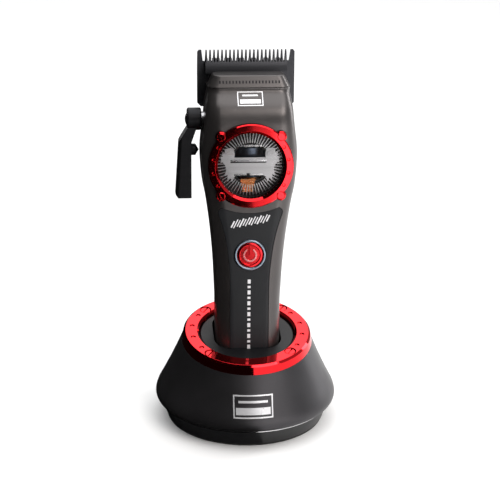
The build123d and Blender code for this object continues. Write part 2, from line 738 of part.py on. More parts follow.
with BuildPart() as end_cap:
    add(BODY)
    split(bisect_by=Plane.XY.offset(END_CAP_HEIGHT - 0.05), keep=Keep.BOTTOM)
    with BuildSketch(Plane.XY):
        with Locations((0, WELL_MID_Y)):
            RectangleRounded(2 * (HANDLE_HALF - BODY_WALL - 0.9), 20, CORNER - BODY_WALL)
    extrude(amount=END_CAP_HEIGHT + 4)
    with BuildSketch(Plane.XY.offset(END_CAP_HEIGHT)):
        with Locations((0, WELL_MID_Y)):
            RectangleRounded(2 * (HANDLE_HALF - BODY_WALL - 2.4), 17, CORNER - BODY_WALL - 1.5)
    extrude(amount=5, mode=Mode.SUBTRACT)
    with BuildSketch(Plane.XY):
        with GridLocations(CONTACT_SPACING, 1, 2, 1):
            Circle(CONTACT_PAD_R + 0.1)
    extrude(amount=END_CAP_HEIGHT, mode=Mode.SUBTRACT)
end_cap.part.label = "end_cap"
export_step(end_cap.part.moved(LEAN), "parts/end_cap.step")

with BuildPart() as charge_contacts:
    with BuildSketch(Plane.XY):
        with GridLocations(CONTACT_SPACING, 1, 2, 1):
            Circle(CONTACT_PAD_R)
    extrude(amount=END_CAP_HEIGHT + 0.8)
charge_contacts.part.label = "charge_contacts"
export_step(charge_contacts.part.moved(LEAN), "parts/charge_contacts.step")

with BuildPart() as casing_screws:
    with BuildSketch(front_plane(HANDLE_BACK - SCREW_SEAT)):
        with Locations([(-x, z) for x, z in CASING_SCREWS]):
            Circle(BOSS_R - 0.4)
    extrude(amount=1.2)
    with BuildSketch(front_plane(BOSS_FRONT + 1)):
        with Locations([(-x, z) for x, z in CASING_SCREWS]):
            Circle(SCREW_R - THREAD_GAP)
    extrude(amount=HANDLE_BACK - SCREW_SEAT - BOSS_FRONT - 1)
    with BuildSketch(front_plane(HANDLE_BACK - SCREW_SEAT + 0.5)):
        with Locations([(-x, z) for x, z in CASING_SCREWS]):
            Rectangle(2.6, 0.5)
            Rectangle(0.5, 2.6)
    extrude(amount=1, mode=Mode.SUBTRACT)
casing_screws.part.label = "casing_screws"
export_step(casing_screws.part.moved(LEAN), "parts/casing_screws.step")

with BuildPart() as front_panel:
    add(panel_prism.part)
    add(BODY.moved(Location((0, PANEL_INSET, 0))), mode=Mode.INTERSECT)
    add(BODY.moved(Location((0, PANEL_INSET + PANEL_THICKNESS, 0))), mode=Mode.SUBTRACT)
    with BuildSketch(front_plane(HEAD_FRONT - 1)):
        with Locations((0, BUTTON_Z)):
            Circle(COLLAR_R + FIT_GAP)
    extrude(amount=9, mode=Mode.SUBTRACT)
    with BuildSketch(window_plane(HEAD_FRONT - 4)):
        bezel_outline(0.6)
    extrude(amount=12, mode=Mode.SUBTRACT)
front_panel.part.label = "front_panel"
export_step(front_panel.part.moved(LEAN), "parts/front_panel.step")

with BuildPart() as nose_cap:
    with BuildSketch(Plane.XY.offset(NOSE_LOW)):
        with Locations((0, (TOP_FRONT + NOSE_BACK) / 2)):
            RectangleRounded(2 * TOP_HALF, NOSE_BACK - TOP_FRONT, NOSE_CORNER)
    with BuildSketch(Plane.XY.offset(NOSE_TOP)):
        with Locations((0, (NOSE_TOP_FRONT + NOSE_BACK) / 2)):
            RectangleRounded(2 * NOSE_TOP_HALF, NOSE_BACK - NOSE_TOP_FRONT, NOSE_CORNER - 1)
    loft()
    fillet(nose_cap.faces().sort_by(Axis.Z)[-1].edges(), 0.8)
    with BuildSketch(Plane.XY.offset(NOSE_LOW)):
        with Locations((0, (TOP_FRONT + NOSE_BACK) / 2)):
            RectangleRounded(2 * (TOP_HALF - NOSE_WALL - 2), NOSE_BACK - TOP_FRONT - 2 * NOSE_WALL - 1.5, 2.5)
    extrude(amount=NOSE_TOP - NOSE_LOW - NOSE_WALL, mode=Mode.SUBTRACT)
nose_cap.part.label = "nose_cap"
export_step(nose_cap.part.moved(LEAN), "parts/nose_cap.step")

# ================================================================ window
with BuildPart() as bezel_ring:
    with BuildSketch(window_plane(BEZEL_FACE)):
        bezel_outline(0)
    extrude(amount=BEZEL_FLOOR - BEZEL_FACE)
    chamfer(bezel_ring.faces().sort_by(Axis.Y)[0].edges(), 0.5)
    with BuildSketch(window_plane(BEZEL_FACE)):
        Circle(BEZEL_INNER_R)
    extrude(amount=BEZEL_FLOOR - BEZEL_FACE, mode=Mode.SUBTRACT)
    bore_edges = bezel_ring.edges().filter_by(GeomType.CIRCLE).filter_by(
        lambda edge: abs(edge.radius - BEZEL_INNER_R) < 0.001)
    chamfer(bore_edges.sort_by(Axis.Y)[0], 1.1)
    with BuildSketch(window_plane(BEZEL_FLOOR)):
        Circle(LENS_R + FIT_GAP)
    extrude(amount=-(LENS_THICKNESS + FIT_GAP), mode=Mode.SUBTRACT)
    for side in (0, 180):
        for angle in BEZEL_DIMPLE_ANGLES:
            with BuildSketch(window_plane(BEZEL_FACE)):
                with PolarLocations(BEZEL_DIMPLE_CIRCLE, 1, start_angle=side + angle):
                    Circle(BEZEL_DIMPLE_R)
            extrude(amount=0.5, taper=30, mode=Mode.SUBTRACT)
    with BuildSketch(window_plane(BEZEL_FACE)):
        with PolarLocations(EAR_CIRCLE_R, 4, start_angle=45):
            Circle(BEZEL_SCREW_R + FIT_GAP)
    extrude(amount=BEZEL_SCREW_SEAT, mode=Mode.SUBTRACT)
    with BuildSketch(window_plane(BEZEL_FACE)):
        with PolarLocations(EAR_CIRCLE_R, 4, start_angle=45):
            Circle(SCREW_R + FIT_GAP)
    extrude(amount=BEZEL_FLOOR - BEZEL_FACE, mode=Mode.SUBTRACT)
bezel_ring.part.label = "bezel_ring"
export_step(bezel_ring.part.moved(LEAN), "parts/bezel_ring.step")

with BuildPart() as bezel_screws:
    with BuildSketch(window_plane(BEZEL_FACE + BEZEL_SCREW_SEAT)):
        with PolarLocations(EAR_CIRCLE_R, 4, start_angle=45):
            Circle(BEZEL_SCREW_R)
    extrude(amount=-BEZEL_SCREW_SEAT - BEZEL_SCREW_RISE)
    chamfer(bezel_screws.faces().group_by(Axis.Y)[0].edges(), 0.3)
    with BuildSketch(window_plane(BEZEL_FACE + BEZEL_SCREW_SEAT)):
        with PolarLocations(EAR_CIRCLE_R, 4, start_angle=45):
            Circle(SCREW_R - THREAD_GAP)
    extrude(amount=BEZEL_FLOOR + SHELF - BEZEL_FACE - 1.2)
    with BuildSketch(window_plane(BEZEL_FACE - BEZEL_SCREW_RISE)):
        with PolarLocations(EAR_CIRCLE_R, 4, start_angle=45, rotate=False):
            Rectangle(4 * BEZEL_SCREW_R, SLOT_WIDTH, rotation=60)
    extrude(amount=0.5, mode=Mode.SUBTRACT)
bezel_screws.part.label = "bezel_screws"
export_step(bezel_screws.part.moved(LEAN), "parts/bezel_screws.step")

with BuildPart() as window_lens:
    with BuildSketch(window_plane(BEZEL_FLOOR - LENS_THICKNESS)):
        Circle(LENS_R)
    extrude(amount=LENS_THICKNESS)
window_lens.part.label = "window_lens"
export_step(window_lens.part.moved(LEAN), "parts/window_lens.step")

with BuildPart() as fin_ring:
    with BuildSketch(window_plane(FIN_FRONT)):
        Circle(FIN_RIM_R)
        Circle(FIN_HUB_R, mode=Mode.SUBTRACT)
        with PolarLocations((FIN_INNER_R + FIN_OUTER_R) / 2, FIN_COUNT):
            Rectangle(FIN_OUTER_R - FIN_INNER_R, FIN_SLOT, mode=Mode.SUBTRACT)
        with Locations((-BRACKET_POST_X, BRACKET_POST_DZ), (BRACKET_POST_X, BRACKET_POST_DZ)):
            Circle(BRACKET_POST_R + 0.9)
    extrude(amount=FIN_PLATE)
    with BuildSketch(window_plane(FIN_FRONT)):
        with Locations((-BRACKET_POST_X, BRACKET_POST_DZ), (BRACKET_POST_X, BRACKET_POST_DZ)):
            Circle(SCREW_R)
    extrude(amount=FIN_PLATE, mode=Mode.SUBTRACT)
fin_ring.part.label = "fin_ring"
export_step(fin_ring.part.moved(LEAN), "parts/fin_ring.step")

POSTS = ((-BRACKET_POST_X, BRACKET_POST_DZ), (BRACKET_POST_X, BRACKET_POST_DZ))

with BuildPart() as motor_bracket:
    with BuildSketch(window_plane(BRACKET_FRONT)):
        Rectangle(2 * BRACKET_HALF, 3.0)
        with Locations((0, 3.2)):
            Rectangle(2 * BRACKET_HALF - 3.4, 5.0)
        with Locations((0, -3.6)):
            Rectangle(2 * BRACKET_HALF - 6.2, 4.6)
        with Locations((0, 1.6)):
            Rectangle(16.4, 1.1, mode=Mode.SUBTRACT)
        with Locations((-5.4, -5.0), (5.4, -5.0)):
            Rectangle(5.0, 1.4, mode=Mode.SUBTRACT)
        with Locations((0, 6.2)):
            Rectangle(12.6, 6.0, mode=Mode.SUBTRACT)
        with Locations(*POSTS):
            Circle(BRACKET_POST_R + 0.1, mode=Mode.SUBTRACT)
    extrude(amount=BRACKET_PLATE - 0.01)
motor_bracket.part.label = "motor_bracket"
export_step(motor_bracket.part.moved(LEAN), "parts/motor_bracket.step")

with BuildPart() as bracket_screws:
    with BuildSketch(window_plane(BRACKET_FRONT - 0.5)):
        with Locations(*POSTS):
            Circle(BRACKET_POST_R)
    extrude(amount=0.5 + BRACKET_PLATE)
    with BuildSketch(window_plane(BRACKET_FRONT)):
        with Locations(*POSTS):
            Circle(SCREW_R - THREAD_GAP)
    extrude(amount=BRACKET_PLATE + FIN_PLATE)
    with BuildSketch(window_plane(BRACKET_FRONT - 0.5)):
        with Locations(*POSTS):
            Rectangle(2.2, 0.5)
    extrude(amount=0.3, mode=Mode.SUBTRACT)
bracket_screws.part.label = "bracket_screws"
export_step(bracket_screws.part.moved(LEAN), "parts/bracket_screws.step")

# ================================================================ motor
with BuildPart() as motor_can:
    with BuildSketch(Plane.XY.offset(MOTOR_LOW)):
        with Locations((0, MOTOR_Y)):
            Circle(MOTOR_R)
    extrude(amount=MOTOR_HIGH - MOTOR_LOW)
    chamfer(motor_can.edges().group_by(Axis.Z)[-1], 0.8)
    with BuildSketch(Plane.XY.offset(COIL_LOW - 0.05)):
        with Locations((0, MOTOR_Y)):
            Circle(MOTOR_R + 1)
            Circle(MOTOR_R - 1.2, mode=Mode.SUBTRACT)
    extrude(amount=COIL_HIGH - COIL_LOW + 0.1, mode=Mode.SUBTRACT)
    with BuildSketch(Plane.XY.offset(MOTOR_HIGH)):
        with Locations((0, MOTOR_Y)):
            Circle(3.2)
    extrude(amount=1.0)
    with BuildSketch(Plane.XY.offset(MOTOR_LOW)):
        with Locations((0, MOTOR_Y)):
            Circle(SHAFT_R + RUNNING_GAP)
    extrude(amount=MOTOR_HIGH - MOTOR_LOW + 2, mode=Mode.SUBTRACT)
motor_can.part.label = "motor_can"
export_step(motor_can.part.moved(LEAN), "parts/motor_can.step")

with BuildPart() as motor_coil:
    with BuildSketch(Plane.XY.offset(COIL_LOW)):
        with Locations((0, MOTOR_Y)):
            Circle(COIL_R)
            Circle(MOTOR_R - 1.15, mode=Mode.SUBTRACT)
    extrude(amount=COIL_HIGH - COIL_LOW)
    fillet(motor_coil.edges().filter_by(GeomType.CIRCLE).sort_by(SortBy.RADIUS)[-2:], 0.8)
motor_coil.part.label = "motor_coil"
export_step(motor_coil.part.moved(LEAN), "parts/motor_coil.step")

FRAME_LOW = MOTOR_HIGH + 0.05
with BuildPart() as motor_frame:
    with BuildSketch(Plane.XY.offset(FRAME_LOW)):
        with Locations((0, 1.0)):
            RectangleRounded(34.0, 14.0, 2.0)
        with Locations((0, MOTOR_Y)):
            Circle(3.2 + FIT_GAP, mode=Mode.SUBTRACT)
    extrude(amount=FRAME_PLATE)
    with BuildSketch(Plane.XY.offset(FRAME_LOW)):
        with Locations((-HEAD_SCREW_X, 0), (HEAD_SCREW_X, 0)):
            Rectangle(2 * BOSS_R + 0.6, 60)
    extrude(amount=FRAME_PLATE, mode=Mode.SUBTRACT)
    with BuildSketch(Plane.XY.offset(FRAME_LOW)):
        with Locations((0, 9.4)):
            Rectangle(18.0, 4.0)
    extrude(amount=FRAME_PLATE)
motor_frame.part.label = "motor_frame"
export_step(motor_frame.part.moved(LEAN), "parts/motor_frame.step")

with BuildPart() as motor_shaft:
    with BuildSketch(Plane.XY.offset(MOTOR_LOW + 1)):
        with Locations((0, MOTOR_Y)):
            Circle(SHAFT_R)
    extrude(amount=CAM_LOW + 1.6 - MOTOR_LOW - 1)
    chamfer(motor_shaft.edges().group_by(Axis.Z)[0], 0.2)
motor_shaft.part.label = "motor_shaft"
export_step(motor_shaft.part.moved(LEAN), "parts/motor_shaft.step")

with BuildPart() as eccentric_cam:
    with BuildSketch(Plane.XY.offset(CAM_LOW)):
        with Locations((0, MOTOR_Y)):
            Circle(CAM_R)
    extrude(amount=CAM_HIGH - CAM_LOW)
    chamfer(eccentric_cam.edges().group_by(Axis.Z)[-1], 0.3)
    with BuildSketch(Plane.XY.offset(CAM_HIGH)):
        with Locations((0, MOTOR_Y + STROKE)):
            Circle(PIN_R)
    extrude(amount=PIN_TOP - CAM_HIGH - 0.6)
    with BuildSketch(Plane.XY.offset(CAM_LOW)):
        with Locations((0, MOTOR_Y)):
            Circle(SHAFT_R)
    extrude(amount=1.6, mode=Mode.SUBTRACT)
eccentric_cam.part.label = "eccentric_cam"
export_step(eccentric_cam.part.moved(LEAN), "parts/eccentric_cam.step")

# ================================================================ battery and control board
with BuildPart() as battery:
    with BuildSketch(Plane.XY.offset(BATTERY_LOW)):
        with Locations((0, BATTERY_Y)):
            Circle(BATTERY_R)
    extrude(amount=BATTERY_LENGTH - 1)
    chamfer(battery.edges().filter_by(GeomType.CIRCLE), 0.5)
    with BuildSketch(Plane.XY.offset(BATTERY_LOW + BATTERY_LENGTH - 1)):
        with Locations((0, BATTERY_Y)):
            Circle(3.0)
    extrude(amount=1.0)
battery.part.label = "battery"
export_step(battery.part.moved(LEAN), "parts/battery.step")

with BuildPart() as control_board:
    with BuildSketch(front_plane(BOARD_FRONT)):
        with Locations((0, (BOARD_LOW + BOARD_HIGH) / 2)):
            RectangleRounded(2 * BOARD_HALF, BOARD_HIGH - BOARD_LOW, 1.5)
    extrude(amount=BOARD_THICKNESS)
control_board.part.label = "control_board"
export_step(control_board.part.moved(LEAN), "parts/control_board.step")

SWITCH_FRONT = BOARD_FRONT - 2.4
with BuildPart() as power_switch:
    with BuildSketch(front_plane(BOARD_FRONT)):
        with Locations((0, BUTTON_Z)):
            RectangleRounded(6, 6, 0.6)
    extrude(amount=-1.6)
    with BuildSketch(front_plane(BOARD_FRONT - 1.6)):
        with Locations((0, BUTTON_Z)):
            Circle(1.6)
    extrude(amount=-0.8)
power_switch.part.label = "power_switch"
export_step(power_switch.part.moved(LEAN), "parts/power_switch.step")

with BuildPart() as button_collar:
    with BuildSketch(front_plane(COLLAR_FRONT)):
        with Locations((0, BUTTON_Z)):
            Circle(COLLAR_R)
            Circle(BUTTON_R + RUNNING_GAP, mode=Mode.SUBTRACT)
    extrude(amount=COLLAR_BACK - COLLAR_FRONT)
    chamfer(button_collar.faces().sort_by(Axis.Y)[0].edges(), 0.35)
button_collar.part.label = "button_collar"
export_step(button_collar.part.moved(LEAN), "parts/button_collar.step")

BUTTON_FRONT = BUTTON_FACE - BUTTON_PROUD
with BuildPart() as power_button:
    with BuildSketch(front_plane(BUTTON_FRONT)):
        with Locations((0, BUTTON_Z)):
            Circle(BUTTON_R)
    extrude(amount=COLLAR_BACK - 0.2 - BUTTON_FRONT)
    fillet(power_button.faces().sort_by(Axis.Y)[0].edges(), 0.6)
    with BuildSketch(front_plane(BUTTON_FRONT)):
        with Locations((0, BUTTON_Z)):
            Circle(DISH_R)
    extrude(amount=SYMBOL_RISE + 0.1, taper=20, mode=Mode.SUBTRACT)
    with BuildSketch(front_plane(BUTTON_FRONT + SYMBOL_RISE + 0.1)):
        with Locations((0, BUTTON_Z)):
            Circle(SYMBOL_R)
            Circle(SYMBOL_R - SYMBOL_LINE, mode=Mode.SUBTRACT)
        with Locations((0, BUTTON_Z + SYMBOL_R)):
            Rectangle(3.0 * SYMBOL_LINE, 2 * SYMBOL_R, mode=Mode.SUBTRACT)
        with Locations((0, BUTTON_Z + 0.62 * SYMBOL_R)):
            RectangleRounded(SYMBOL_LINE, 1.3 * SYMBOL_R, 0.3)
    extrude(amount=-SYMBOL_RISE)
    with BuildSketch(front_plane(COLLAR_BACK - 0.2)):
        with Locations((0, BUTTON_Z)):
            Circle(1.4)
    extrude(amount=SWITCH_FRONT - BUTTON_TRAVEL - 0.1 - COLLAR_BACK + 0.2)
power_button.part.label = "power_button"
export_step(power_button.part.moved(LEAN), "parts/power_button.step")

# ================================================================ blades
def tooth_row(count, pitch, root, tip, root_width, tip_width):
    """Row of tapered teeth standing on a line, on a sketch parallel to the face."""
    for index in range(count):
        middle = (index - (count - 1) / 2) * pitch
        with BuildLine() as tooth:
            Polyline(
                (middle - root_width / 2, root - 0.2),
                (middle - tip_width / 2, tip - 0.2),
                (middle - tip_width / 4, tip),
                (middle + tip_width / 4, tip),
                (middle + tip_width / 2, tip - 0.2),
                (middle + root_width / 2, root - 0.2),
                close=True,
            )
        make_face(tooth.edges())


BLADE_BACK = BLADE_FRONT + BLADE_THICKNESS
YOKE_PINS = ((-3.4, CUTTER_LOW + 1.8), (3.4, CUTTER_LOW + 1.8))
YOKE_PIN_R = 0.9
YOKE_PIN_REACH = 1.5
with BuildPart() as fixed_blade:
    with BuildSketch(front_plane(BLADE_FRONT)):
        with Locations((0, (BLADE_LOW + BLADE_ROOT) / 2)):
            Rectangle(2 * BLADE_HALF, BLADE_ROOT - BLADE_LOW)
        tooth_row(BLADE_TEETH, BLADE_PITCH, BLADE_ROOT, BLADE_TIP, 1.2, 0.6)
        for side in (-1, 1):
            with BuildLine() as outer_tooth:
                Polyline(
                    (side * BLADE_HALF, BLADE_ROOT - 0.2),
                    (side * BLADE_HALF, BLADE_TIP - 0.9),
                    (side * (BLADE_HALF - 0.7), BLADE_TIP),
                    (side * (BLADE_HALF - OUTER_TOOTH + 0.7), BLADE_TIP),
                    (side * (BLADE_HALF - OUTER_TOOTH), BLADE_ROOT - 0.2),
                    close=True,
                )
            make_face(outer_tooth.edges())
    extrude(amount=BLADE_THICKNESS)
    with BuildSketch(side_plane(-BLADE_HALF - 1)):
        with BuildLine():
            Polyline(
                (BLADE_BACK + 1, BLADE_ROOT - 4.5),
                (BLADE_BACK, BLADE_ROOT - 4.5),
                (BLADE_FRONT + 0.9, BLADE_TIP + 0.1),
                (BLADE_BACK + 1, BLADE_TIP + 0.1),
                close=True,
            )
        make_face()
    extrude(amount=2 * BLADE_HALF + 2, mode=Mode.SUBTRACT)
    chamfer(fixed_blade.edges().filter_by(Axis.Y).group_by(Axis.Z)[0], 1.6)
    with BuildSketch(front_plane(BLADE_FRONT)):
        with Locations((-BLADE_SCREW_X, BLADE_SCREW_Z), (BLADE_SCREW_X, BLADE_SCREW_Z)):
            Circle(BLADE_SCREW_R + FIT_GAP)
    extrude(amount=BLADE_THICKNESS, mode=Mode.SUBTRACT)
fixed_blade.part.label = "fixed_blade"
export_step(fixed_blade.part.moved(LEAN), "parts/fixed_blade.step")

with BuildPart() as cutter_blade:
    with BuildSketch(front_plane(CUTTER_FRONT)):
        with Locations((0, (CUTTER_STEP + CUTTER_ROOT) / 2)):
            Rectangle(2 * CUTTER_HALF, CUTTER_ROOT - CUTTER_STEP)
        with Locations((0, (CUTTER_LOW + CUTTER_STEP) / 2)):
            Rectangle(2 * CUTTER_BASE_HALF, CUTTER_STEP - CUTTER_LOW + 0.01)
        tooth_row(CUTTER_TEETH, CUTTER_PITCH, CUTTER_ROOT, CUTTER_TIP, 1.0, 0.7)
    extrude(amount=CUTTER_THICKNESS)
    with BuildSketch(side_plane(-CUTTER_HALF - 1)):
        with BuildLine():
            Polyline(
                (CUTTER_FRONT - 1, CUTTER_ROOT - 2.2),
                (CUTTER_FRONT, CUTTER_ROOT - 2.2),
                (CUTTER_BACK - 1.0, CUTTER_TIP + 0.1),
                (CUTTER_FRONT - 1, CUTTER_TIP + 0.1),
                close=True,
            )
        make_face()
    extrude(amount=2 * CUTTER_HALF + 2, mode=Mode.SUBTRACT)
    with BuildSketch(front_plane(CUTTER_FRONT)):
        with Locations(*YOKE_PINS):
            Circle(YOKE_PIN_R)
    extrude(amount=YOKE_PIN_REACH + 0.1, mode=Mode.SUBTRACT)
cutter_blade.part.label = "cutter_blade"
export_step(cutter_blade.part.moved(LEAN), "parts/cutter_blade.step")

FORK_HALF = PIN_R + STROKE + 0.2
with BuildPart() as drive_yoke:
    with BuildSketch(Plane.XY.offset(CUTTER_LOW + 0.1)):
        with Locations((0, (CUTTER_FRONT + PIN_R + 2 * STROKE + 0.4) / 2)):
            Rectangle(2 * FORK_HALF + 4, CUTTER_FRONT - PIN_R - 2 * STROKE - 0.4)
        for side in (-1, 1):
            with Locations((side * (FORK_HALF + 1), (CUTTER_FRONT - 2.6) / 2)):
                Rectangle(2, CUTTER_FRONT + 2.6)
    extrude(amount=YOKE_HIGH - CUTTER_LOW - 0.1)
    with BuildSketch(front_plane(CUTTER_FRONT)):
        with Locations(*YOKE_PINS):
            Circle(YOKE_PIN_R)
    extrude(amount=YOKE_PIN_REACH)
drive_yoke.part.label = "drive_yoke"
export_step(drive_yoke.part.moved(LEAN), "parts/drive_yoke.step")

LEVER_PIN_Y = TAPER_TRAVEL * cos(radians(LEVER_SWING / 2))
LEVER_PIN_RISE = TAPER_TRAVEL * sin(radians(LEVER_SWING / 2))
TAB_INNER = LEVER_PIN_X + TAB_HALF
TAB_OUTER = LEVER_PIN_X - TAB_HALF
with BuildPart() as blade_carrier:
    with BuildSketch(front_plane(CARRIER_FRONT)):
        with Locations((0, (CARRIER_LOW + CARRIER_HIGH) / 2)):
            RectangleRounded(2 * CARRIER_HALF, CARRIER_HIGH - CARRIER_LOW, 1.0)
    extrude(amount=BLADE_FRONT - CARRIER_FRONT)
    with BuildSketch(side_plane(TAB_OUTER)):
        with BuildLine():
            Polyline(
                (-1.6, LEVER_Z + LEVER_PIN_RISE - 2.8),
                (5.2, LEVER_Z + LEVER_PIN_RISE - 2.8),
                (5.2, CARRIER_LOW - 0.4),
                (CARRIER_FRONT + 3.4, CARRIER_LOW + 0.5),
                (CARRIER_FRONT + 3.4, CARRIER_LOW + 2.0),
                (CARRIER_FRONT, CARRIER_LOW + 2.0),
                (-1.6, CARRIER_LOW - 0.4),
                close=True,
            )
        make_face()
        with Locations((LEVER_PIN_Y - 0.1, LEVER_Z + LEVER_PIN_RISE)):
            SlotOverall(2 * LEVER_PIN_R + 1.2, 2 * (LEVER_PIN_R + RUNNING_GAP), mode=Mode.SUBTRACT)
    extrude(amount=TAB_INNER - TAB_OUTER)
    with BuildSketch(front_plane(CARRIER_FRONT)):
        with Locations((-BLADE_SCREW_X, BLADE_SCREW_Z), (BLADE_SCREW_X, BLADE_SCREW_Z)):
            Circle(BLADE_SCREW_R)
    extrude(amount=BLADE_FRONT - CARRIER_FRONT, mode=Mode.SUBTRACT)
blade_carrier.part.label = "blade_carrier"
export_step(blade_carrier.part.moved(LEAN), "parts/blade_carrier.step")

with BuildPart() as blade_screws:
    with BuildSketch(front_plane(CARRIER_FRONT + 0.4)):
        with Locations((-BLADE_SCREW_X, BLADE_SCREW_Z), (BLADE_SCREW_X, BLADE_SCREW_Z)):
            Circle(BLADE_SCREW_R - THREAD_GAP)
    extrude(amount=BLADE_BACK - CARRIER_FRONT - 0.4)
    with BuildSketch(front_plane(BLADE_BACK)):
        with Locations((-BLADE_SCREW_X, BLADE_SCREW_Z), (BLADE_SCREW_X, BLADE_SCREW_Z)):
            Circle(BLADE_SCREW_HEAD_R)
    extrude(amount=1.4)
    chamfer(blade_screws.faces().group_by(Axis.Y)[-1].edges(), 0.4)
    with BuildSketch(front_plane(BLADE_BACK + 0.7)):
        with Locations((-BLADE_SCREW_X, BLADE_SCREW_Z), (BLADE_SCREW_X, BLADE_SCREW_Z)):
            Rectangle(3.4, SLOT_WIDTH)
            Rectangle(SLOT_WIDTH, 3.4)
    extrude(amount=1.0, mode=Mode.SUBTRACT)
blade_screws.part.label = "blade_screws"
export_step(blade_screws.part.moved(LEAN), "parts/blade_screws.step")

SPRING_THICKNESS = 0.5
SPRING_TOP = NOSE_LOW - 0.4
with BuildPart() as tension_spring:
    with BuildSketch(side_plane(-SPRING_HALF)):
        with BuildLine():
            Polyline(
                (CARRIER_FRONT - SPRING_THICKNESS, CARRIER_LOW + 0.4),
                (CARRIER_FRONT, CARRIER_LOW + 0.4),
                (CARRIER_FRONT, CARRIER_HIGH + 0.4),
                (CUTTER_FRONT - SLIDE_GAP, SPRING_TOP - 1.4),
                (CUTTER_FRONT - SLIDE_GAP, SPRING_TOP),
                (CUTTER_FRONT - SLIDE_GAP - SPRING_THICKNESS, SPRING_TOP),
                (CUTTER_FRONT - SLIDE_GAP - SPRING_THICKNESS, SPRING_TOP - 1.4),
                (CARRIER_FRONT - SPRING_THICKNESS, CARRIER_HIGH + 0.4),
                close=True,
            )
        make_face()
    extrude(amount=2 * SPRING_HALF)
    with BuildSketch(front_plane(-4)):
        with Locations((0, CARRIER_HIGH + 6)):
            Rectangle(16.4, 12.0)
    extrude(amount=12, mode=Mode.SUBTRACT)
    with BuildSketch(front_plane(-4)):
        with Locations((-BLADE_SCREW_X, BLADE_SCREW_Z), (BLADE_SCREW_X, BLADE_SCREW_Z)):
            Circle(1.3)
    extrude(amount=12, mode=Mode.SUBTRACT)
tension_spring.part.label = "tension_spring"
export_step(tension_spring.part.moved(LEAN), "parts/tension_spring.step")

# ================================================================ taper lever
with BuildPart() as lever_shaft:
    with BuildSketch(side_plane(-HUB_INNER)):
        with Locations((0, LEVER_Z)):
            Circle(LEVER_SHAFT_R)
    extrude(amount=HUB_INNER + LEVER_SHAFT_END)
    with BuildSketch(side_plane(LEVER_SHAFT_END)):
        with Locations((LEVER_PIN_Y, LEVER_Z + LEVER_PIN_RISE)):
            Circle(LEVER_PIN_R)
    extrude(amount=TAB_INNER - LEVER_SHAFT_END)
lever_shaft.part.label = "lever_shaft"
export_step(lever_shaft.part.moved(LEAN), "parts/lever_shaft.step")

with BuildPart() as taper_lever:
    with BuildSketch(side_plane(-HUB_INNER)):
        with Locations((0, LEVER_Z)):
            Circle(HUB_R)
    extrude(amount=-(HUB_OUTER - HUB_INNER))
    chamfer(taper_lever.edges().filter_by(GeomType.CIRCLE), 0.5)
    with BuildSketch(front_plane(-ARM_DEPTH / 2)):
        with BuildLine():
            Polyline(
                (HUB_INNER + 2.2, LEVER_Z - 3.6),
                (ARM_INNER, LEVER_Z - 10.6),
                (ARM_INNER, ARM_LOW),
                (ARM_OUTER - 1.2, ARM_LOW),
                (ARM_OUTER, ARM_LOW + 1.6),
                (ARM_OUTER - 1.6, LEVER_Z - 10.0),
                (HUB_OUTER, LEVER_Z - 3.6),
                close=True,
            )
        make_face()
    extrude(amount=ARM_DEPTH)
    fillet(taper_lever.edges().filter_by(Axis.Z, tolerance=12).group_by(Axis.X)[0], 1.6)
    with BuildSketch(side_plane(-HUB_OUTER)):
        with Locations((0, LEVER_Z)):
            Circle(CAP_STEM_R + RUNNING_GAP)
    extrude(amount=CAP_STEM, mode=Mode.SUBTRACT)
taper_lever.part.label = "taper_lever"
export_step(taper_lever.part.moved(LEAN), "parts/taper_lever.step")

CAP_DOME_R = (CAP_R**2 + CAP_RISE**2) / (2 * CAP_RISE)
with BuildPart() as lever_screw_cap:
    with BuildSketch(Plane.XY.offset(LEVER_Z)):
        with BuildLine():
            Polyline((-HUB_OUTER - CAP_RISE, 0), (-HUB_OUTER, 0), (-HUB_OUTER, CAP_R))
            RadiusArc((-HUB_OUTER, CAP_R), (-HUB_OUTER - CAP_RISE, 0), -CAP_DOME_R)
        make_face()
    revolve(axis=Axis(origin=(0, 0, LEVER_Z), direction=(1, 0, 0)))
    with BuildSketch(side_plane(-HUB_OUTER)):
        with Locations((0, LEVER_Z)):
            Circle(CAP_STEM_R)
    extrude(amount=CAP_STEM)
lever_screw_cap.part.label = "lever_screw_cap"
export_step(lever_screw_cap.part.moved(LEAN), "parts/lever_screw_cap.step")

with BuildPart() as detent_knob:
    with BuildSketch(Plane.XY.offset(KNOB_Z)):
        with BuildLine():
            Polyline(
                (-ARM_INNER, 0),
                (-ARM_INNER, KNOB_R),
                (-ARM_INNER + 2.0, KNOB_R),
                (-HEAD_HALF - MOVE_GAP - 0.2, 0),
                close=True,
            )
        make_face()
    revolve(axis=Axis(origin=(0, 0, KNOB_Z), direction=(1, 0, 0)))
detent_knob.part.label = "detent_knob"
export_step(detent_knob.part.moved(LEAN), "parts/detent_knob.step")
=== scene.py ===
import json
import math

import bmesh
import bpy
from bpy.props import FloatProperty, FloatVectorProperty, IntProperty, PointerProperty
from mathutils import Matrix, Vector
from mathutils.bvhtree import BVHTree


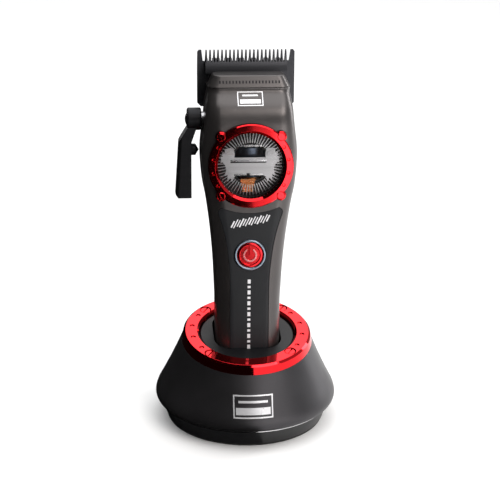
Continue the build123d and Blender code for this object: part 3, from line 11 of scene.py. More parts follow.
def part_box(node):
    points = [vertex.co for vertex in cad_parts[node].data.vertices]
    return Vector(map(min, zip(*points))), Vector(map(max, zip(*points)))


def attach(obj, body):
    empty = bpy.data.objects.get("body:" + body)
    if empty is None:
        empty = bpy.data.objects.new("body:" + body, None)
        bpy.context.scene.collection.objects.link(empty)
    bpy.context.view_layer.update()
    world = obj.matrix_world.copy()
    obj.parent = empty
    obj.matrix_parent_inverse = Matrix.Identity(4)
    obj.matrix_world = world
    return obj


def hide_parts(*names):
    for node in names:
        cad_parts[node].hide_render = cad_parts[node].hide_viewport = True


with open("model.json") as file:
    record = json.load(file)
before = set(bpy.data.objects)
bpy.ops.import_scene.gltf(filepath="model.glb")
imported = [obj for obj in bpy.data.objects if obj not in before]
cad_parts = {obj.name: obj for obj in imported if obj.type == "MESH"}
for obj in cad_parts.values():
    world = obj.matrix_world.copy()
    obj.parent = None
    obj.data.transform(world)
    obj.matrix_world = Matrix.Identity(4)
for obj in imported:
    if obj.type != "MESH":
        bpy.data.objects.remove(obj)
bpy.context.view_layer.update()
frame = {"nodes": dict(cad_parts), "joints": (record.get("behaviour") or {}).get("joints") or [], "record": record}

bl_info = {
    "name": "Hair clipper on its charging stand",
    "version": (1, 0, 0),
    "blender": (4, 5, 0),
    "location": "View3D > Sidebar > Clipper",
    "description": "Finishes and detail pieces for a cordless hair clipper and its round stand",
    "category": "Object",
}

MM = 0.001
JOINTS = {joint["name"]: joint for joint in frame["joints"]}
BODIES = frame["record"]["behaviour"]["bodies"]
BODY_OF = {node: body for body, nodes in BODIES.items() for node in nodes}
SLOT_OF = {row["node"]: row["material_slot"] for row in frame["record"]["subparts"]}

# The clipper's own axes: x across, y to the rear, z up its length, in metres. The origin is on
# the motor's axis, 120 mm above the clipper's bottom end.
ACROSS = Vector((1, 0, 0))
UP = Vector(JOINTS["clipper_lift"]["axis"]).normalized()
REAR = UP.cross(ACROSS)
CLIPPER = (Matrix.Translation(JOINTS["motor_spin"]["pos_m"])
           @ Matrix((ACROSS, REAR, UP)).transposed().to_4x4())
TO_CLIPPER = CLIPPER.inverted()
FROM_BOTTOM = -0.120

# Mesh repair and shading. Distances in metres, angles in degrees.
WELD = 2e-6
FLAT_WITHIN = 0.4
ROUND_FROM = 38.0
CASING_SMOOTH = 30.0
PIECE_SMOOTH = 35.0
COIL_SMOOTH = 60.0

# Raised symbol on the button: how far it reaches from the middle, how deep its faces lie, and how
# squarely they look forward.
SYMBOL_REACH = 0.0037
SYMBOL_DEPTH = 0.0003
SYMBOL_FACING = -0.9

# Needles over the fin plate: distance in front of the plate's middle, depth, width and narrowing.
NEEDLE_FRONT = 0.0012
NEEDLE_DEPTH = 0.0007
NEEDLE_WIDTH = 0.00045
NEEDLE_TAPER = 0.35

# Visible end of the winding: short wires one above the other, each a little longer.
END_WIRES = 8
END_WIRE_R = 0.00036
END_WIRE_PITCH = 0.00075
END_WIRE_LENGTH = 0.0046
END_WIRE_GROWTH = 0.0003
END_WIRE_PLACE = (-0.0011, 0.0004, 0.0129)
END_WIRE_SHIFT = 0.0002

# Marks: thickness, spacing of their grid, and heights above the clipper's bottom end.
MARK_THICK = 0.00008
NOSE_THICK = 0.00012
MARK_GRID = 0.0008
HEAD_BADGE_AT = 0.1466
STREAKS_AT = 0.0905
DASHES_AT = 0.0285

# The stand's badge sits at this share of its shell's height, plus a lift. The head's badge is
# width, height and line, with two bars inside: rise, width and height.
STAND_BADGE_SHARE = 0.29
STAND_BADGE_LIFT = 0.0014
HEAD_BADGE = (0.0116, 0.0058, 0.0004)
HEAD_BADGE_BARS = ((-0.0011, 0.0094, 0.0016), (0.0013, 0.0070, 0.0006))

# Leaning strokes across the panel: every third is thicker and every second is taller.
STREAK_STEPS = range(-6, 7)
STREAK_PITCH = 0.00135
STREAK_CLIMB = 0.00022
STREAK_WIDTHS = (0.00045, 0.00065)
STREAK_HEIGHTS = (0.0034, 0.0046)
STREAK_LEAN = 0.45

# Upright row of long and short dashes down the panel, and the even row of dark bars on the nose cap, raised bars
# coloured as painted shade of its debossed grooves.
DASH_STEPS = range(13)
DASH_ACROSS = -0.0002
DASH_PITCH = 0.0027
DASH_WIDTH = 0.0014
DASH_HEIGHTS = (0.0020, 0.0011)
NOSE_STEPS = range(-9, 10)
NOSE_PITCH = 0.00150
NOSE_BAR = (0.00070, 0.0012)
NOSE_DROP = 0.0001


# ---------------------------------------------------------------- sizes and colours
class ClipperSizes(bpy.types.PropertyGroup):
    """Sizes of the detail pieces."""

    edge_round: FloatProperty(
        name="Edge rounding", description="Width of the small rounding on casing edges",
        default=0.00022, unit="LENGTH")
    fin_count: IntProperty(
        name="Fins", description="Radial fins in the window", default=60)
    fin_inner: FloatProperty(
        name="Fin inner radius", description="Where the fins start", default=0.0098, unit="LENGTH")
    fin_outer: FloatProperty(
        name="Fin outer radius", description="Where the fins end", default=0.0149, unit="LENGTH")
    coil_turns: IntProperty(
        name="Coil turns", description="Turns of wire that show on the motor", default=11)
    badge_width: FloatProperty(
        name="Badge width", description="Width of the plate mark on the stand",
        default=0.0185, unit="LENGTH")
    badge_height: FloatProperty(
        name="Badge height", description="Height of the plate mark on the stand",
        default=0.0100, unit="LENGTH")
    badge_line: FloatProperty(
        name="Badge line", description="Width of the line round the stand's mark",
        default=0.0006, unit="LENGTH")
    camera_distance: FloatProperty(
        name="Camera distance", description="From the middle of the object", default=0.700,
        unit="LENGTH")
    camera_lens: FloatProperty(
        name="Camera lens", description="Focal length", default=106.5, unit="CAMERA")


class ClipperColours(bpy.types.PropertyGroup):
    """Colours of the finishes."""

    body: FloatVectorProperty(
        name="Body", description="Satin black lacquer of the casing", subtype="COLOR",
        default=(0.098, 0.091, 0.090))
    stand: FloatVectorProperty(
        name="Stand", description="Satin black lacquer of the stand", subtype="COLOR",
        default=(0.062, 0.060, 0.064))
    panel: FloatVectorProperty(
        name="Panel", description="Matte panel on the handle", subtype="COLOR",
        default=(0.011, 0.012, 0.014))
    red: FloatVectorProperty(
        name="Red metal", description="Anodised bezel and stand ring", subtype="COLOR",
        default=(0.74, 0.020, 0.026))
    button: FloatVectorProperty(
        name="Button", description="Power button", subtype="COLOR", default=(0.80, 0.030, 0.036))
    collar: FloatVectorProperty(
        name="Collar", description="Collar round the button", subtype="COLOR",
        default=(0.27, 0.33, 0.40))
    blade: FloatVectorProperty(
        name="Blade", description="Dark coating of the blades", subtype="COLOR",
        default=(0.055, 0.056, 0.062))
    mark: FloatVectorProperty(
        name="Mark", description="Printed and plated marks", subtype="COLOR",
        default=(0.78, 0.78, 0.80))
    floor: FloatVectorProperty(
        name="Floor", description="Pale floor", subtype="COLOR", default=(0.86, 0.86, 0.86))


# ---------------------------------------------------------------- shader node groups
def start_group(name, inputs, outputs):
    """Empty shader node group with float sockets, and its input and output nodes."""
    group = bpy.data.node_groups.new(name, "ShaderNodeTree")
    for label, default in inputs:
        socket = group.interface.new_socket(label, in_out="INPUT", socket_type="NodeSocketFloat")
        socket.default_value = default
    for label in outputs:
        group.interface.new_socket(label, in_out="OUTPUT", socket_type="NodeSocketFloat")
    return group, group.nodes.new("NodeGroupInput"), group.nodes.new("NodeGroupOutput")


def moulded_grain_group():
    """Fine even grain of moulded or sprayed parts, with a slow drift in tone."""
    group, given, out = start_group(
        "Moulded grain", (("Grain size", 900.0), ("Drift size", 22.0)), ("Height", "Drift"))
    nodes, links = group.nodes, group.links
    place = nodes.new("ShaderNodeTexCoord")
    grain = nodes.new("ShaderNodeTexNoise")
    grain.inputs["Detail"].default_value = 3.0
    drift = nodes.new("ShaderNodeTexNoise")
    drift.inputs["Detail"].default_value = 4.0
    drift.inputs["Roughness"].default_value = 0.62
    links.new(place.outputs["Object"], grain.inputs["Vector"])
    links.new(place.outputs["Object"], drift.inputs["Vector"])
    links.new(given.outputs["Grain size"], grain.inputs["Scale"])
    links.new(given.outputs["Drift size"], drift.inputs["Scale"])
    links.new(grain.outputs["Fac"], out.inputs["Height"])
    links.new(drift.outputs["Fac"], out.inputs["Drift"])
    return group


def brushed_lines_group():
    """Long fine scratches along one axis of a ground or brushed metal face."""
    group, given, out = start_group(
        "Brushed lines", (("Across", 2600.0), ("Along", 60.0)), ("Height", "Tone"))
    nodes, links = group.nodes, group.links
    place = nodes.new("ShaderNodeTexCoord")
    stretch = nodes.new("ShaderNodeCombineXYZ")
    scale = nodes.new("ShaderNodeVectorMath")
    scale.operation = "MULTIPLY"
    lines = nodes.new("ShaderNodeTexNoise")
    lines.inputs["Scale"].default_value = 1.0
    lines.inputs["Detail"].default_value = 5.0
    tone = nodes.new("ShaderNodeTexNoise")
    tone.inputs["Scale"].default_value = 0.35
    tone.inputs["Detail"].default_value = 2.0
    links.new(given.outputs["Along"], stretch.inputs["X"])
    links.new(given.outputs["Across"], stretch.inputs["Y"])
    links.new(given.outputs["Across"], stretch.inputs["Z"])
    links.new(place.outputs["Object"], scale.inputs[0])
    links.new(stretch.outputs["Vector"], scale.inputs[1])
    links.new(scale.outputs["Vector"], lines.inputs["Vector"])
    links.new(scale.outputs["Vector"], tone.inputs["Vector"])
    links.new(lines.outputs["Fac"], out.inputs["Height"])
    links.new(tone.outputs["Fac"], out.inputs["Tone"])
    return group


def handling_group():
    """Smudges and light dust that make a surface a little rougher in patches."""
    group, given, out = start_group(
        "Handling marks", (("Patch size", 45.0), ("Cover", 0.45)), ("Mask",))
    nodes, links = group.nodes, group.links
    place = nodes.new("ShaderNodeTexCoord")
    patches = nodes.new("ShaderNodeTexNoise")
    patches.inputs["Detail"].default_value = 6.0
    patches.inputs["Distortion"].default_value = 0.6
    edge = nodes.new("ShaderNodeMapRange")
    edge.inputs["From Max"].default_value = 0.75
    links.new(place.outputs["Object"], patches.inputs["Vector"])
    links.new(given.outputs["Patch size"], patches.inputs["Scale"])
    links.new(patches.outputs["Fac"], edge.inputs["Value"])
    links.new(given.outputs["Cover"], edge.inputs["From Min"])
    links.new(edge.outputs["Result"], out.inputs["Mask"])
    return group


GROUP_MAKERS = {
    "Moulded grain": moulded_grain_group,
    "Brushed lines": brushed_lines_group,
    "Handling marks": handling_group,
}
GROUPS = {}


def group_node(material, name):
    """A shared group placed in a material, made when it is first asked for."""
    if name not in GROUPS:
        GROUPS[name] = GROUP_MAKERS[name]()
    node = material.node_tree.nodes.new("ShaderNodeGroup")
    node.node_tree = GROUPS[name]
    return node


# ---------------------------------------------------------------- materials
def start_material(name, colour, metallic=0.0, coat=0.0, coat_roughness=0.05, ior=1.5):
    """Material with its Principled shader, plain values set on the shader's own sockets."""
    material = bpy.data.materials.new(name)
    material.use_nodes = True
    shader = material.node_tree.nodes["Principled BSDF"]
    shader.inputs["Base Color"].default_value = (*colour, 1.0)
    shader.inputs["Metallic"].default_value = metallic
    shader.inputs["Coat Weight"].default_value = coat
    shader.inputs["Coat Roughness"].default_value = coat_roughness
    shader.inputs["IOR"].default_value = ior
    material.diffuse_color = (*colour, 1.0)
    return material, shader


def vary_colour(material, shader, mask, colour, spread):
    """Base colour drifts either side of the colour by spread, following mask."""
    nodes, links = material.node_tree.nodes, material.node_tree.links
    mix = nodes.new("ShaderNodeMix")
    mix.data_type = "RGBA"
    mix.inputs["A"].default_value = (*(c * (1.0 - spread) for c in colour), 1.0)
    mix.inputs["B"].default_value = (*(min(1.0, c * (1.0 + spread)) for c in colour), 1.0)
    links.new(mask, mix.inputs["Factor"])
    links.new(mix.outputs["Result"], shader.inputs["Base Color"])


def vary_roughness(material, shader, mask, low, high):
    """Roughness runs from low to high with mask."""
    nodes, links = material.node_tree.nodes, material.node_tree.links
    spread = nodes.new("ShaderNodeMapRange")
    spread.inputs["To Min"].default_value = low
    spread.inputs["To Max"].default_value = high
    links.new(mask, spread.inputs["Value"])
    links.new(spread.outputs["Result"], shader.inputs["Roughness"])


def add_bump(material, shader, height, strength, depth):
    """Height drives a bump of the given depth in metres."""
    nodes, links = material.node_tree.nodes, material.node_tree.links
    bump = nodes.new("ShaderNodeBump")
    bump.inputs["Strength"].default_value = strength
    bump.inputs["Distance"].default_value = depth
    links.new(height, bump.inputs["Height"])
    links.new(bump.outputs["Normal"], shader.inputs["Normal"])


def grained(name, colour, roughness, metallic=0.0, size=900.0, depth=0.00002, strength=0.25,
            tone=0.10, specular=0.5):
    """Moulded, sprayed or cast surface with a fine grain and patches of handling."""
    material, shader = start_material(name, colour, metallic)
    shader.inputs["Specular IOR Level"].default_value = specular
    grain = group_node(material, "Moulded grain")
    grain.inputs["Grain size"].default_value = size
    marks = group_node(material, "Handling marks")
    vary_colour(material, shader, grain.outputs["Drift"], colour, tone)
    vary_roughness(material, shader, marks.outputs["Mask"], roughness - 0.04, roughness + 0.07)
    add_bump(material, shader, grain.outputs["Height"], strength, depth)
    return material


def brushed(name, colour, roughness, metallic=1.0):
    """Ground or brushed metal with fine lines."""
    material, shader = start_material(name, colour, metallic)
    lines = group_node(material, "Brushed lines")
    vary_colour(material, shader, lines.outputs["Tone"], colour, 0.16)
    vary_roughness(material, shader, lines.outputs["Height"], roughness - 0.07, roughness + 0.10)
    add_bump(material, shader, lines.outputs["Height"], 0.3, 0.00001)
    return material


def polished(name, colour, roughness, metallic=1.0, coat=0.0, smudge=0.07):
    """Polished or anodised metal: nearly clean, with faint handling marks."""
    material, shader = start_material(name, colour, metallic, coat, 0.04)
    marks = group_node(material, "Handling marks")
    grain = group_node(material, "Moulded grain")
    grain.inputs["Grain size"].default_value = 1600.0
    vary_colour(material, shader, grain.outputs["Drift"], colour, 0.06)
    vary_roughness(material, shader, marks.outputs["Mask"], roughness, roughness + smudge)
    add_bump(material, shader, grain.outputs["Height"], 0.06, 0.000004)
    return material


def lens_material():
    """Clear window: thin tint with sharp reflections."""
    material, shader = start_material("Window lens", (0.02, 0.02, 0.02), coat_roughness=0.01, ior=1.45)
    shader.inputs["Specular IOR Level"].default_value = 0.5
    shader.inputs["Alpha"].default_value = 0.12
    marks = group_node(material, "Handling marks")
    vary_roughness(material, shader, marks.outputs["Mask"], 0.02, 0.09)
    return material


FINISHES = {}


def make_finishes(colours):
    """One material for each material slot of the record."""
    body, stand, panel = tuple(colours.body), tuple(colours.stand), tuple(colours.panel)
    FINISHES.update({
        "body_black": grained("Body lacquer", body, 0.36, 0.90, 1500.0, 0.000012, 0.12, 0.05),
        "stand_black": grained("Stand lacquer", stand, 0.42, 0.90, 1300.0, 0.000015, 0.15, 0.06),
        "skirt_black": grained("Skirt plastic", (0.009, 0.009, 0.010), 0.42, 0.0, 1100.0),
        "panel_charcoal": grained("Handle panel", panel, 0.46, 0.0, 800.0, 0.00003, 0.35, specular=0.3),
        "dark_plastic": grained("Dark plastic", (0.005, 0.005, 0.006), 0.40, 0.0, 900.0, specular=0.25),
        "foot_rubber": grained("Foot rubber", (0.015, 0.015, 0.015), 0.80, 0.0, 500.0, 0.00006, 0.5),
        "bright_trim": polished("Bright trim", (0.80, 0.80, 0.82), 0.10),
        "red_metal": polished("Red anodised", tuple(colours.red), 0.055, smudge=0.03),
        "button_red": polished("Button red", tuple(colours.button), 0.12),
        "collar_blue": brushed("Button collar", tuple(colours.collar), 0.30),
        "blade_steel": brushed("Blade coating", tuple(colours.blade), 0.36, metallic=0.9),
        "bright_steel": brushed("Bright steel", (0.62, 0.62, 0.64), 0.34),
        "dark_steel": brushed("Dark steel", (0.016, 0.016, 0.018), 0.38, metallic=0.8),
        "ballast_iron": grained("Ballast iron", (0.09, 0.09, 0.09), 0.65, 0.7, 400.0, 0.0001, 0.5),
        # Near black fin plate: painted shade of the window's inside.
        "fin_painted_shade": grained("Fin plate painted shade", (0.006, 0.006, 0.006), 0.5, 0.0, 900.0),
        "motor_grey": brushed("Motor can", (0.10, 0.12, 0.16), 0.33),
        "copper": polished("Copper wire", (0.80, 0.36, 0.13), 0.22, coat=0.6),
        "contact_gold": polished("Contact gold", (0.86, 0.62, 0.22), 0.18),
        "lens_glass": lens_material(),
        "board_green": grained("Circuit board", (0.015, 0.09, 0.04), 0.40, 0.0, 600.0),
        "cell_wrap": grained("Cell sleeve", (0.03, 0.10, 0.30), 0.30, 0.0, 500.0),
        "mark": polished("Plated mark", tuple(colours.mark), 0.25, metallic=0.6),
        "button_symbol": polished("Button symbol", (0.95, 0.30, 0.30), 0.18),
        "mark_white": grained("Printed mark", (0.72, 0.72, 0.74), 0.45, 0.0),
    })


# Pieces with another look than their slot's: the fin plate is near black, painted shade for the dark inside of the
# window.
SPECIAL_FINISH = {"fin_ring": "fin_painted_shade"}


# ---------------------------------------------------------------- mesh helpers
def finish_piece(name, bm, body, finish, smooth_angle=PIECE_SMOOTH, into=Matrix.Identity(4)):
    """Turns a bmesh, moved by into, into a finished piece that rides on a body."""
    bm.transform(into)
    mesh = bpy.data.meshes.new(name)
    for face in bm.faces:
        face.smooth = True
    for edge in bm.edges:
        if len(edge.link_faces) == 2:
            edge.smooth = edge.calc_face_angle(0.0) < math.radians(smooth_angle)
    bm.to_mesh(mesh)
    bm.free()
    piece = bpy.data.objects.new(name, mesh)
    bpy.context.scene.collection.objects.link(piece)
    piece.data.materials.append(FINISHES[finish])
    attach(piece, body)
    return piece


def closed_outward(bm):
    """Joins doubled points and turns every face outward."""
    bmesh.ops.remove_doubles(bm, verts=bm.verts, dist=1e-7)
    bmesh.ops.recalc_face_normals(bm, faces=bm.faces)


def merged_copy(node):
    """Bmesh copy of a CAD node with its loose triangles joined."""
    mesh = frame["nodes"][node].data.copy()
    if "custom_normal" in mesh.attributes:
        mesh.attributes.remove(mesh.attributes["custom_normal"])
    bm = bmesh.new()
    bm.from_mesh(mesh)
    bpy.data.meshes.remove(mesh)
    bmesh.ops.remove_doubles(bm, verts=bm.verts, dist=WELD)
    return bm


def thicken(bm, way):
    """Makes a flat mesh solid by pushing a copy of its faces along way."""
    grown = bmesh.ops.extrude_face_region(bm, geom=bm.faces[:])
    moved = [item for item in grown["geom"] if isinstance(item, bmesh.types.BMVert)]
    bmesh.ops.translate(bm, verts=moved, vec=way)
    bmesh.ops.recalc_face_normals(bm, faces=bm.faces)


def recast(node, rounding):
    """Stands in for a CAD node with the same shape, smooth shading and small rounded edges."""
    bm = merged_copy(node)
    if rounding:
        bmesh.ops.dissolve_limit(
            bm, angle_limit=math.radians(FLAT_WITHIN), verts=bm.verts, edges=bm.edges,
            delimit={"NORMAL"})
    slot = SLOT_OF[node]
    finish = SPECIAL_FINISH.get(node, slot)
    piece = finish_piece(f"{node}.finished", bm, BODY_OF[node], finish, CASING_SMOOTH)
    if rounding:
        edge = piece.modifiers.new("Rounded edges", "BEVEL")
        edge.width = rounding
        edge.segments = 2
        edge.limit_method = "ANGLE"
        edge.angle_limit = math.radians(ROUND_FROM)
        edge.harden_normals = True
        edge.use_clamp_overlap = True
    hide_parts(node)


def clipper_box(node):
    """Lowest and highest corner of a CAD node in the clipper's own axes."""
    places = [TO_CLIPPER @ v.co for v in frame["nodes"][node].data.vertices]
    return (Vector(map(min, zip(*places))), Vector(map(max, zip(*places))))


def surface_of(node):
    """Search tree over a CAD node's faces."""
    mesh = frame["nodes"][node].data
    return BVHTree.FromPolygons(
        [v.co.copy() for v in mesh.vertices], [tuple(p.vertices) for p in mesh.polygons])


def laid_marks(name, node, bars, body, finish, into=Matrix.Identity(4), thick=MARK_THICK):
    """Thin bars that follow a CAD node's front surface. Each is (x, z, width, height, lean)."""
    surface = surface_of(node)
    rear = (into.to_3x3() @ Vector((0, 1, 0))).normalized()
    bm = bmesh.new()
    for x, z, wide, tall, lean in bars:
        cuts_x, cuts_z = max(1, round(wide / MARK_GRID)), max(1, round(tall / MARK_GRID))
        place = (into @ Matrix.Translation((x, -0.1, z)) @ Matrix.Rotation(lean, 4, "Y")
                 @ Matrix.Rotation(math.pi / 2, 4, "X") @ Matrix.Diagonal((wide / 2, tall / 2, 1, 1)))
        bmesh.ops.create_grid(bm, x_segments=cuts_x, y_segments=cuts_z, size=1.0, matrix=place)
    for vert in bm.verts:
        hit = surface.ray_cast(vert.co, rear)[0]
        if hit is None:
            raise RuntimeError(f"{name} reaches past the edge of {node}")
        vert.co = hit + rear * thick / 2
    thicken(bm, -rear * thick)
    finish_piece(name, bm, body, finish)


def box_outline(x, z, wide, tall, line):
    """Four bars round a rectangle."""
    side = (wide - line) / 2
    end = (tall - line) / 2
    return [
        (x, z + end, wide, line, 0.0),
        (x, z - end, wide, line, 0.0),
        (x - side, z, line, tall - 2 * line, 0.0),
        (x + side, z, line, tall - 2 * line, 0.0),
    ]


def badge_bars(z, wide, tall, line, bars):
    """Outline with plain bars inside it; each bar is (rise, width, height)."""
    return box_outline(0, z, wide, tall, line) + [
        (0, z + rise, bar_wide, bar_tall, 0.0) for rise, bar_wide, bar_tall in bars]


def light_symbol():
    """Gives the raised symbol on the button its own lighter finish."""
    mesh = bpy.data.objects["power_button.finished"].data
    mesh.materials.append(FINISHES["button_symbol"])
    low, high = clipper_box("power_button")
    centre = Vector(((low.x + high.x) / 2, 0, (low.z + high.z) / 2))
    for face in mesh.polygons:
        middle = TO_CLIPPER @ face.center
        facing = (TO_CLIPPER.to_3x3() @ face.normal).y < SYMBOL_FACING
        corners = [TO_CLIPPER @ mesh.vertices[v].co for v in face.vertices]
        spread = max(Vector((at.x - centre.x, at.z - centre.z)).length for at in corners)
        if facing and spread < SYMBOL_REACH and middle.y < low.y + SYMBOL_DEPTH:
            face.material_index = 1


# ---------------------------------------------------------------- operators
class CLIPPER_OT_casings(bpy.types.Operator):
    """Finish the CAD pieces but the motor coil and bracket: smooth shading, small rounded edges and its own
    material
    """

    bl_idname = "clipper.casings"
    bl_label = "Finish the casings"

    def execute(self, context):
        sizes = context.scene.clipper_sizes
        plain = {"motor_coil", "motor_bracket"}
        unrounded = {"window_lens", "motor_shaft", "control_board", "battery"}
        for node in frame["nodes"]:
            if node in plain:
                continue
            recast(node, 0.0 if node in unrounded else sizes.edge_round)
        light_symbol()
        return {"FINISHED"}


class CLIPPER_OT_fins(bpy.types.Operator):
    """Make the ring of bright needles round the motor in the window"""

    bl_idname = "clipper.fins"
    bl_label = "Make the window fins"

    def execute(self, context):
        sizes = context.scene.clipper_sizes
        low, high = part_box("fin_ring")
        local = TO_CLIPPER @ ((low + high) / 2)
        hub = Vector((0, local.y - NEEDLE_FRONT, local.z))
        length = sizes.fin_outer - sizes.fin_inner
        halfway = (sizes.fin_outer + sizes.fin_inner) / 2
        bm = bmesh.new()
        for index in range(sizes.fin_count):
            turn = Matrix.Rotation(2 * math.pi * index / sizes.fin_count, 4, "Y")
            place = (Matrix.Translation(hub) @ turn @ Matrix.Translation((halfway, 0, 0))
                     @ Matrix.Diagonal((length, NEEDLE_DEPTH, NEEDLE_WIDTH, 1)))
            needle = bmesh.ops.create_cube(bm, size=1.0, matrix=place)["verts"]
            tips = sorted(needle, key=lambda v: (v.co - hub).length)[4:]
            tip_middle = sum((v.co for v in tips), Vector()) / 4
            for vert in tips:
                vert.co = tip_middle.lerp(vert.co, NEEDLE_TAPER)
        finish_piece("window_fins", bm, "clipper", "bright_steel", into=CLIPPER)
        return {"FINISHED"}


# Right half of the bracket's outline, then the bright bars of painted highlight and the dark bars of painted
# shade: x, z from the window's centre (and width, height for the bars), all in mm. The bars' fronts and depths are
# in metres.
BRACKET_HALF = (
    (0.0, -5.4), (6.2, -5.4), (7.4, -6.2), (8.2, -8.6), (8.9, -6.4), (10.3, -8.2), (10.2, -5.0),
    (11.6, -5.6), (10.9, -2.6), (11.4, -0.6), (12.6, 0.9), (13.5, 0.3), (13.2, 1.9), (13.5, 3.4),
    (12.4, 3.2), (12.7, 5.2), (11.4, 4.8), (11.5, 6.9), (10.3, 7.0), (8.8, 7.3), (7.4, 6.2),
    (7.0, 4.6), (7.2, 2.9))
# Bright bars: painted highlights where light glints on the slot, on the plate's lower edge and on the motor can's
# rim.
PAINTED_HIGHLIGHT_BARS = (
    (-0.75, 1.5, 16.5, 0.9), (-4.6, -5.0, 5.3, 0.7), (2.9, -5.0, 5.8, 0.7),
    (-5.6, 8.3, 1.0, 0.8), (-4.0, 8.4, 0.8, 0.8), (-0.8, 8.4, 4.6, 0.8), (2.9, 8.4, 1.8, 0.8),
    (4.8, 8.3, 0.9, 0.8))
HIGHLIGHT_FRONT, HIGHLIGHT_DEPTH = 0.0002, 0.0005
# Dark bars: painted shade in the slot, in the notch between the lower highlights and under the plate's lower edge.
SHADE_FRONT, SHADE_DEPTH = 0.0001, 0.0004
PAINTED_SHADE_BARS = ((-0.75, 0.75, 16.5, 0.6), (-0.9, -4.9, 1.4, 1.1), (-0.6, -5.5, 13.2, 0.3))


def bars_in_window(name, bars, front, depth, finish, centre_z):
    """Small square-edged bars in the window; on the bracket they are painted highlights and painted shade."""
    bm = bmesh.new()
    for x, z, wide, tall in bars:
        place = (Matrix.Translation((x * MM, front + depth / 2, centre_z + z * MM))
                 @ Matrix.Diagonal((wide * MM, depth, tall * MM, 1)))
        bmesh.ops.create_cube(bm, size=1.0, matrix=place)
    finish_piece(name, bm, "clipper", finish, into=CLIPPER)


class CLIPPER_OT_bracket(bpy.types.Operator):
    """Cut the motor bracket to its toothed outline, set bright bars of painted highlight and dark bars of painted
    shade on it, and add the wires round it
    """

    bl_idname = "clipper.bracket"
    bl_label = "Make the motor bracket"

    def execute(self, context):
        low, high = clipper_box("motor_bracket")
        window_low, window_high = clipper_box("window_lens")
        centre_z = (window_low.z + window_high.z) / 2
        outline = list(BRACKET_HALF) + [(-x, z) for x, z in reversed(BRACKET_HALF[1:])]
        bm = bmesh.new()
        bm.faces.new([bm.verts.new((x * MM, low.y, centre_z + z * MM)) for x, z in outline])
        thicken(bm, (0, high.y - low.y, 0))
        bracket = finish_piece(
            "bracket_plate", bm, "clipper", "bright_steel", into=CLIPPER)
        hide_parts("motor_bracket")
        # The bright bars are painted highlights and the dark bars are painted shade.
        bars_in_window("bracket_painted_highlights", PAINTED_HIGHLIGHT_BARS, low.y - HIGHLIGHT_FRONT, HIGHLIGHT_DEPTH,
                       "bright_trim", centre_z)
        bars_in_window("bracket_painted_shade", PAINTED_SHADE_BARS, low.y - SHADE_FRONT, SHADE_DEPTH,
                       "dark_plastic", centre_z)

        x, behind, below = END_WIRE_PLACE
        bm = bmesh.new()
        for step in range(END_WIRES):
            place = (Matrix.Translation((x + END_WIRE_SHIFT * (step % 2), high.y - behind,
                                         centre_z - below + END_WIRE_PITCH * step))
                     @ Matrix.Rotation(math.pi / 2, 4, "Y"))
            bmesh.ops.create_cone(
                bm, cap_ends=True, segments=12, radius1=END_WIRE_R, radius2=END_WIRE_R,
                depth=END_WIRE_LENGTH + END_WIRE_GROWTH * step, matrix=place)
        finish_piece("coil_end", bm, "clipper", "copper", into=CLIPPER)
        return {"FINISHED"}


class CLIPPER_OT_coil(bpy.types.Operator):
    """Wind the copper coil round the motor"""

    bl_idname = "clipper.coil"
    bl_label = "Wind the motor coil"

    def execute(self, context):
        turns = context.scene.clipper_sizes.coil_turns
        low, high = clipper_box("motor_coil")
        wire = (high.z - low.z) / turns / 2
        bm = bmesh.new()
        for index in range(turns):
            middle = Matrix.Translation((high.x - wire, 0, low.z + wire * (2 * index + 1)))
            section = bmesh.ops.create_circle(
                bm, segments=10, radius=wire,
                matrix=middle @ Matrix.Rotation(math.pi / 2, 4, "X"))
            edges = list({edge for vert in section["verts"] for edge in vert.link_edges})
            bmesh.ops.spin(
                bm, geom=edges + section["verts"], cent=(0, 0, 0), axis=(0, 0, 1), dvec=(0, 0, 0),
                angle=2 * math.pi, steps=72, use_merge=True, use_duplicate=False)
        closed_outward(bm)
        coil = finish_piece("coil_windings", bm, "clipper", "copper", COIL_SMOOTH, CLIPPER)
        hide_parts("motor_coil")
        return {"FINISHED"}


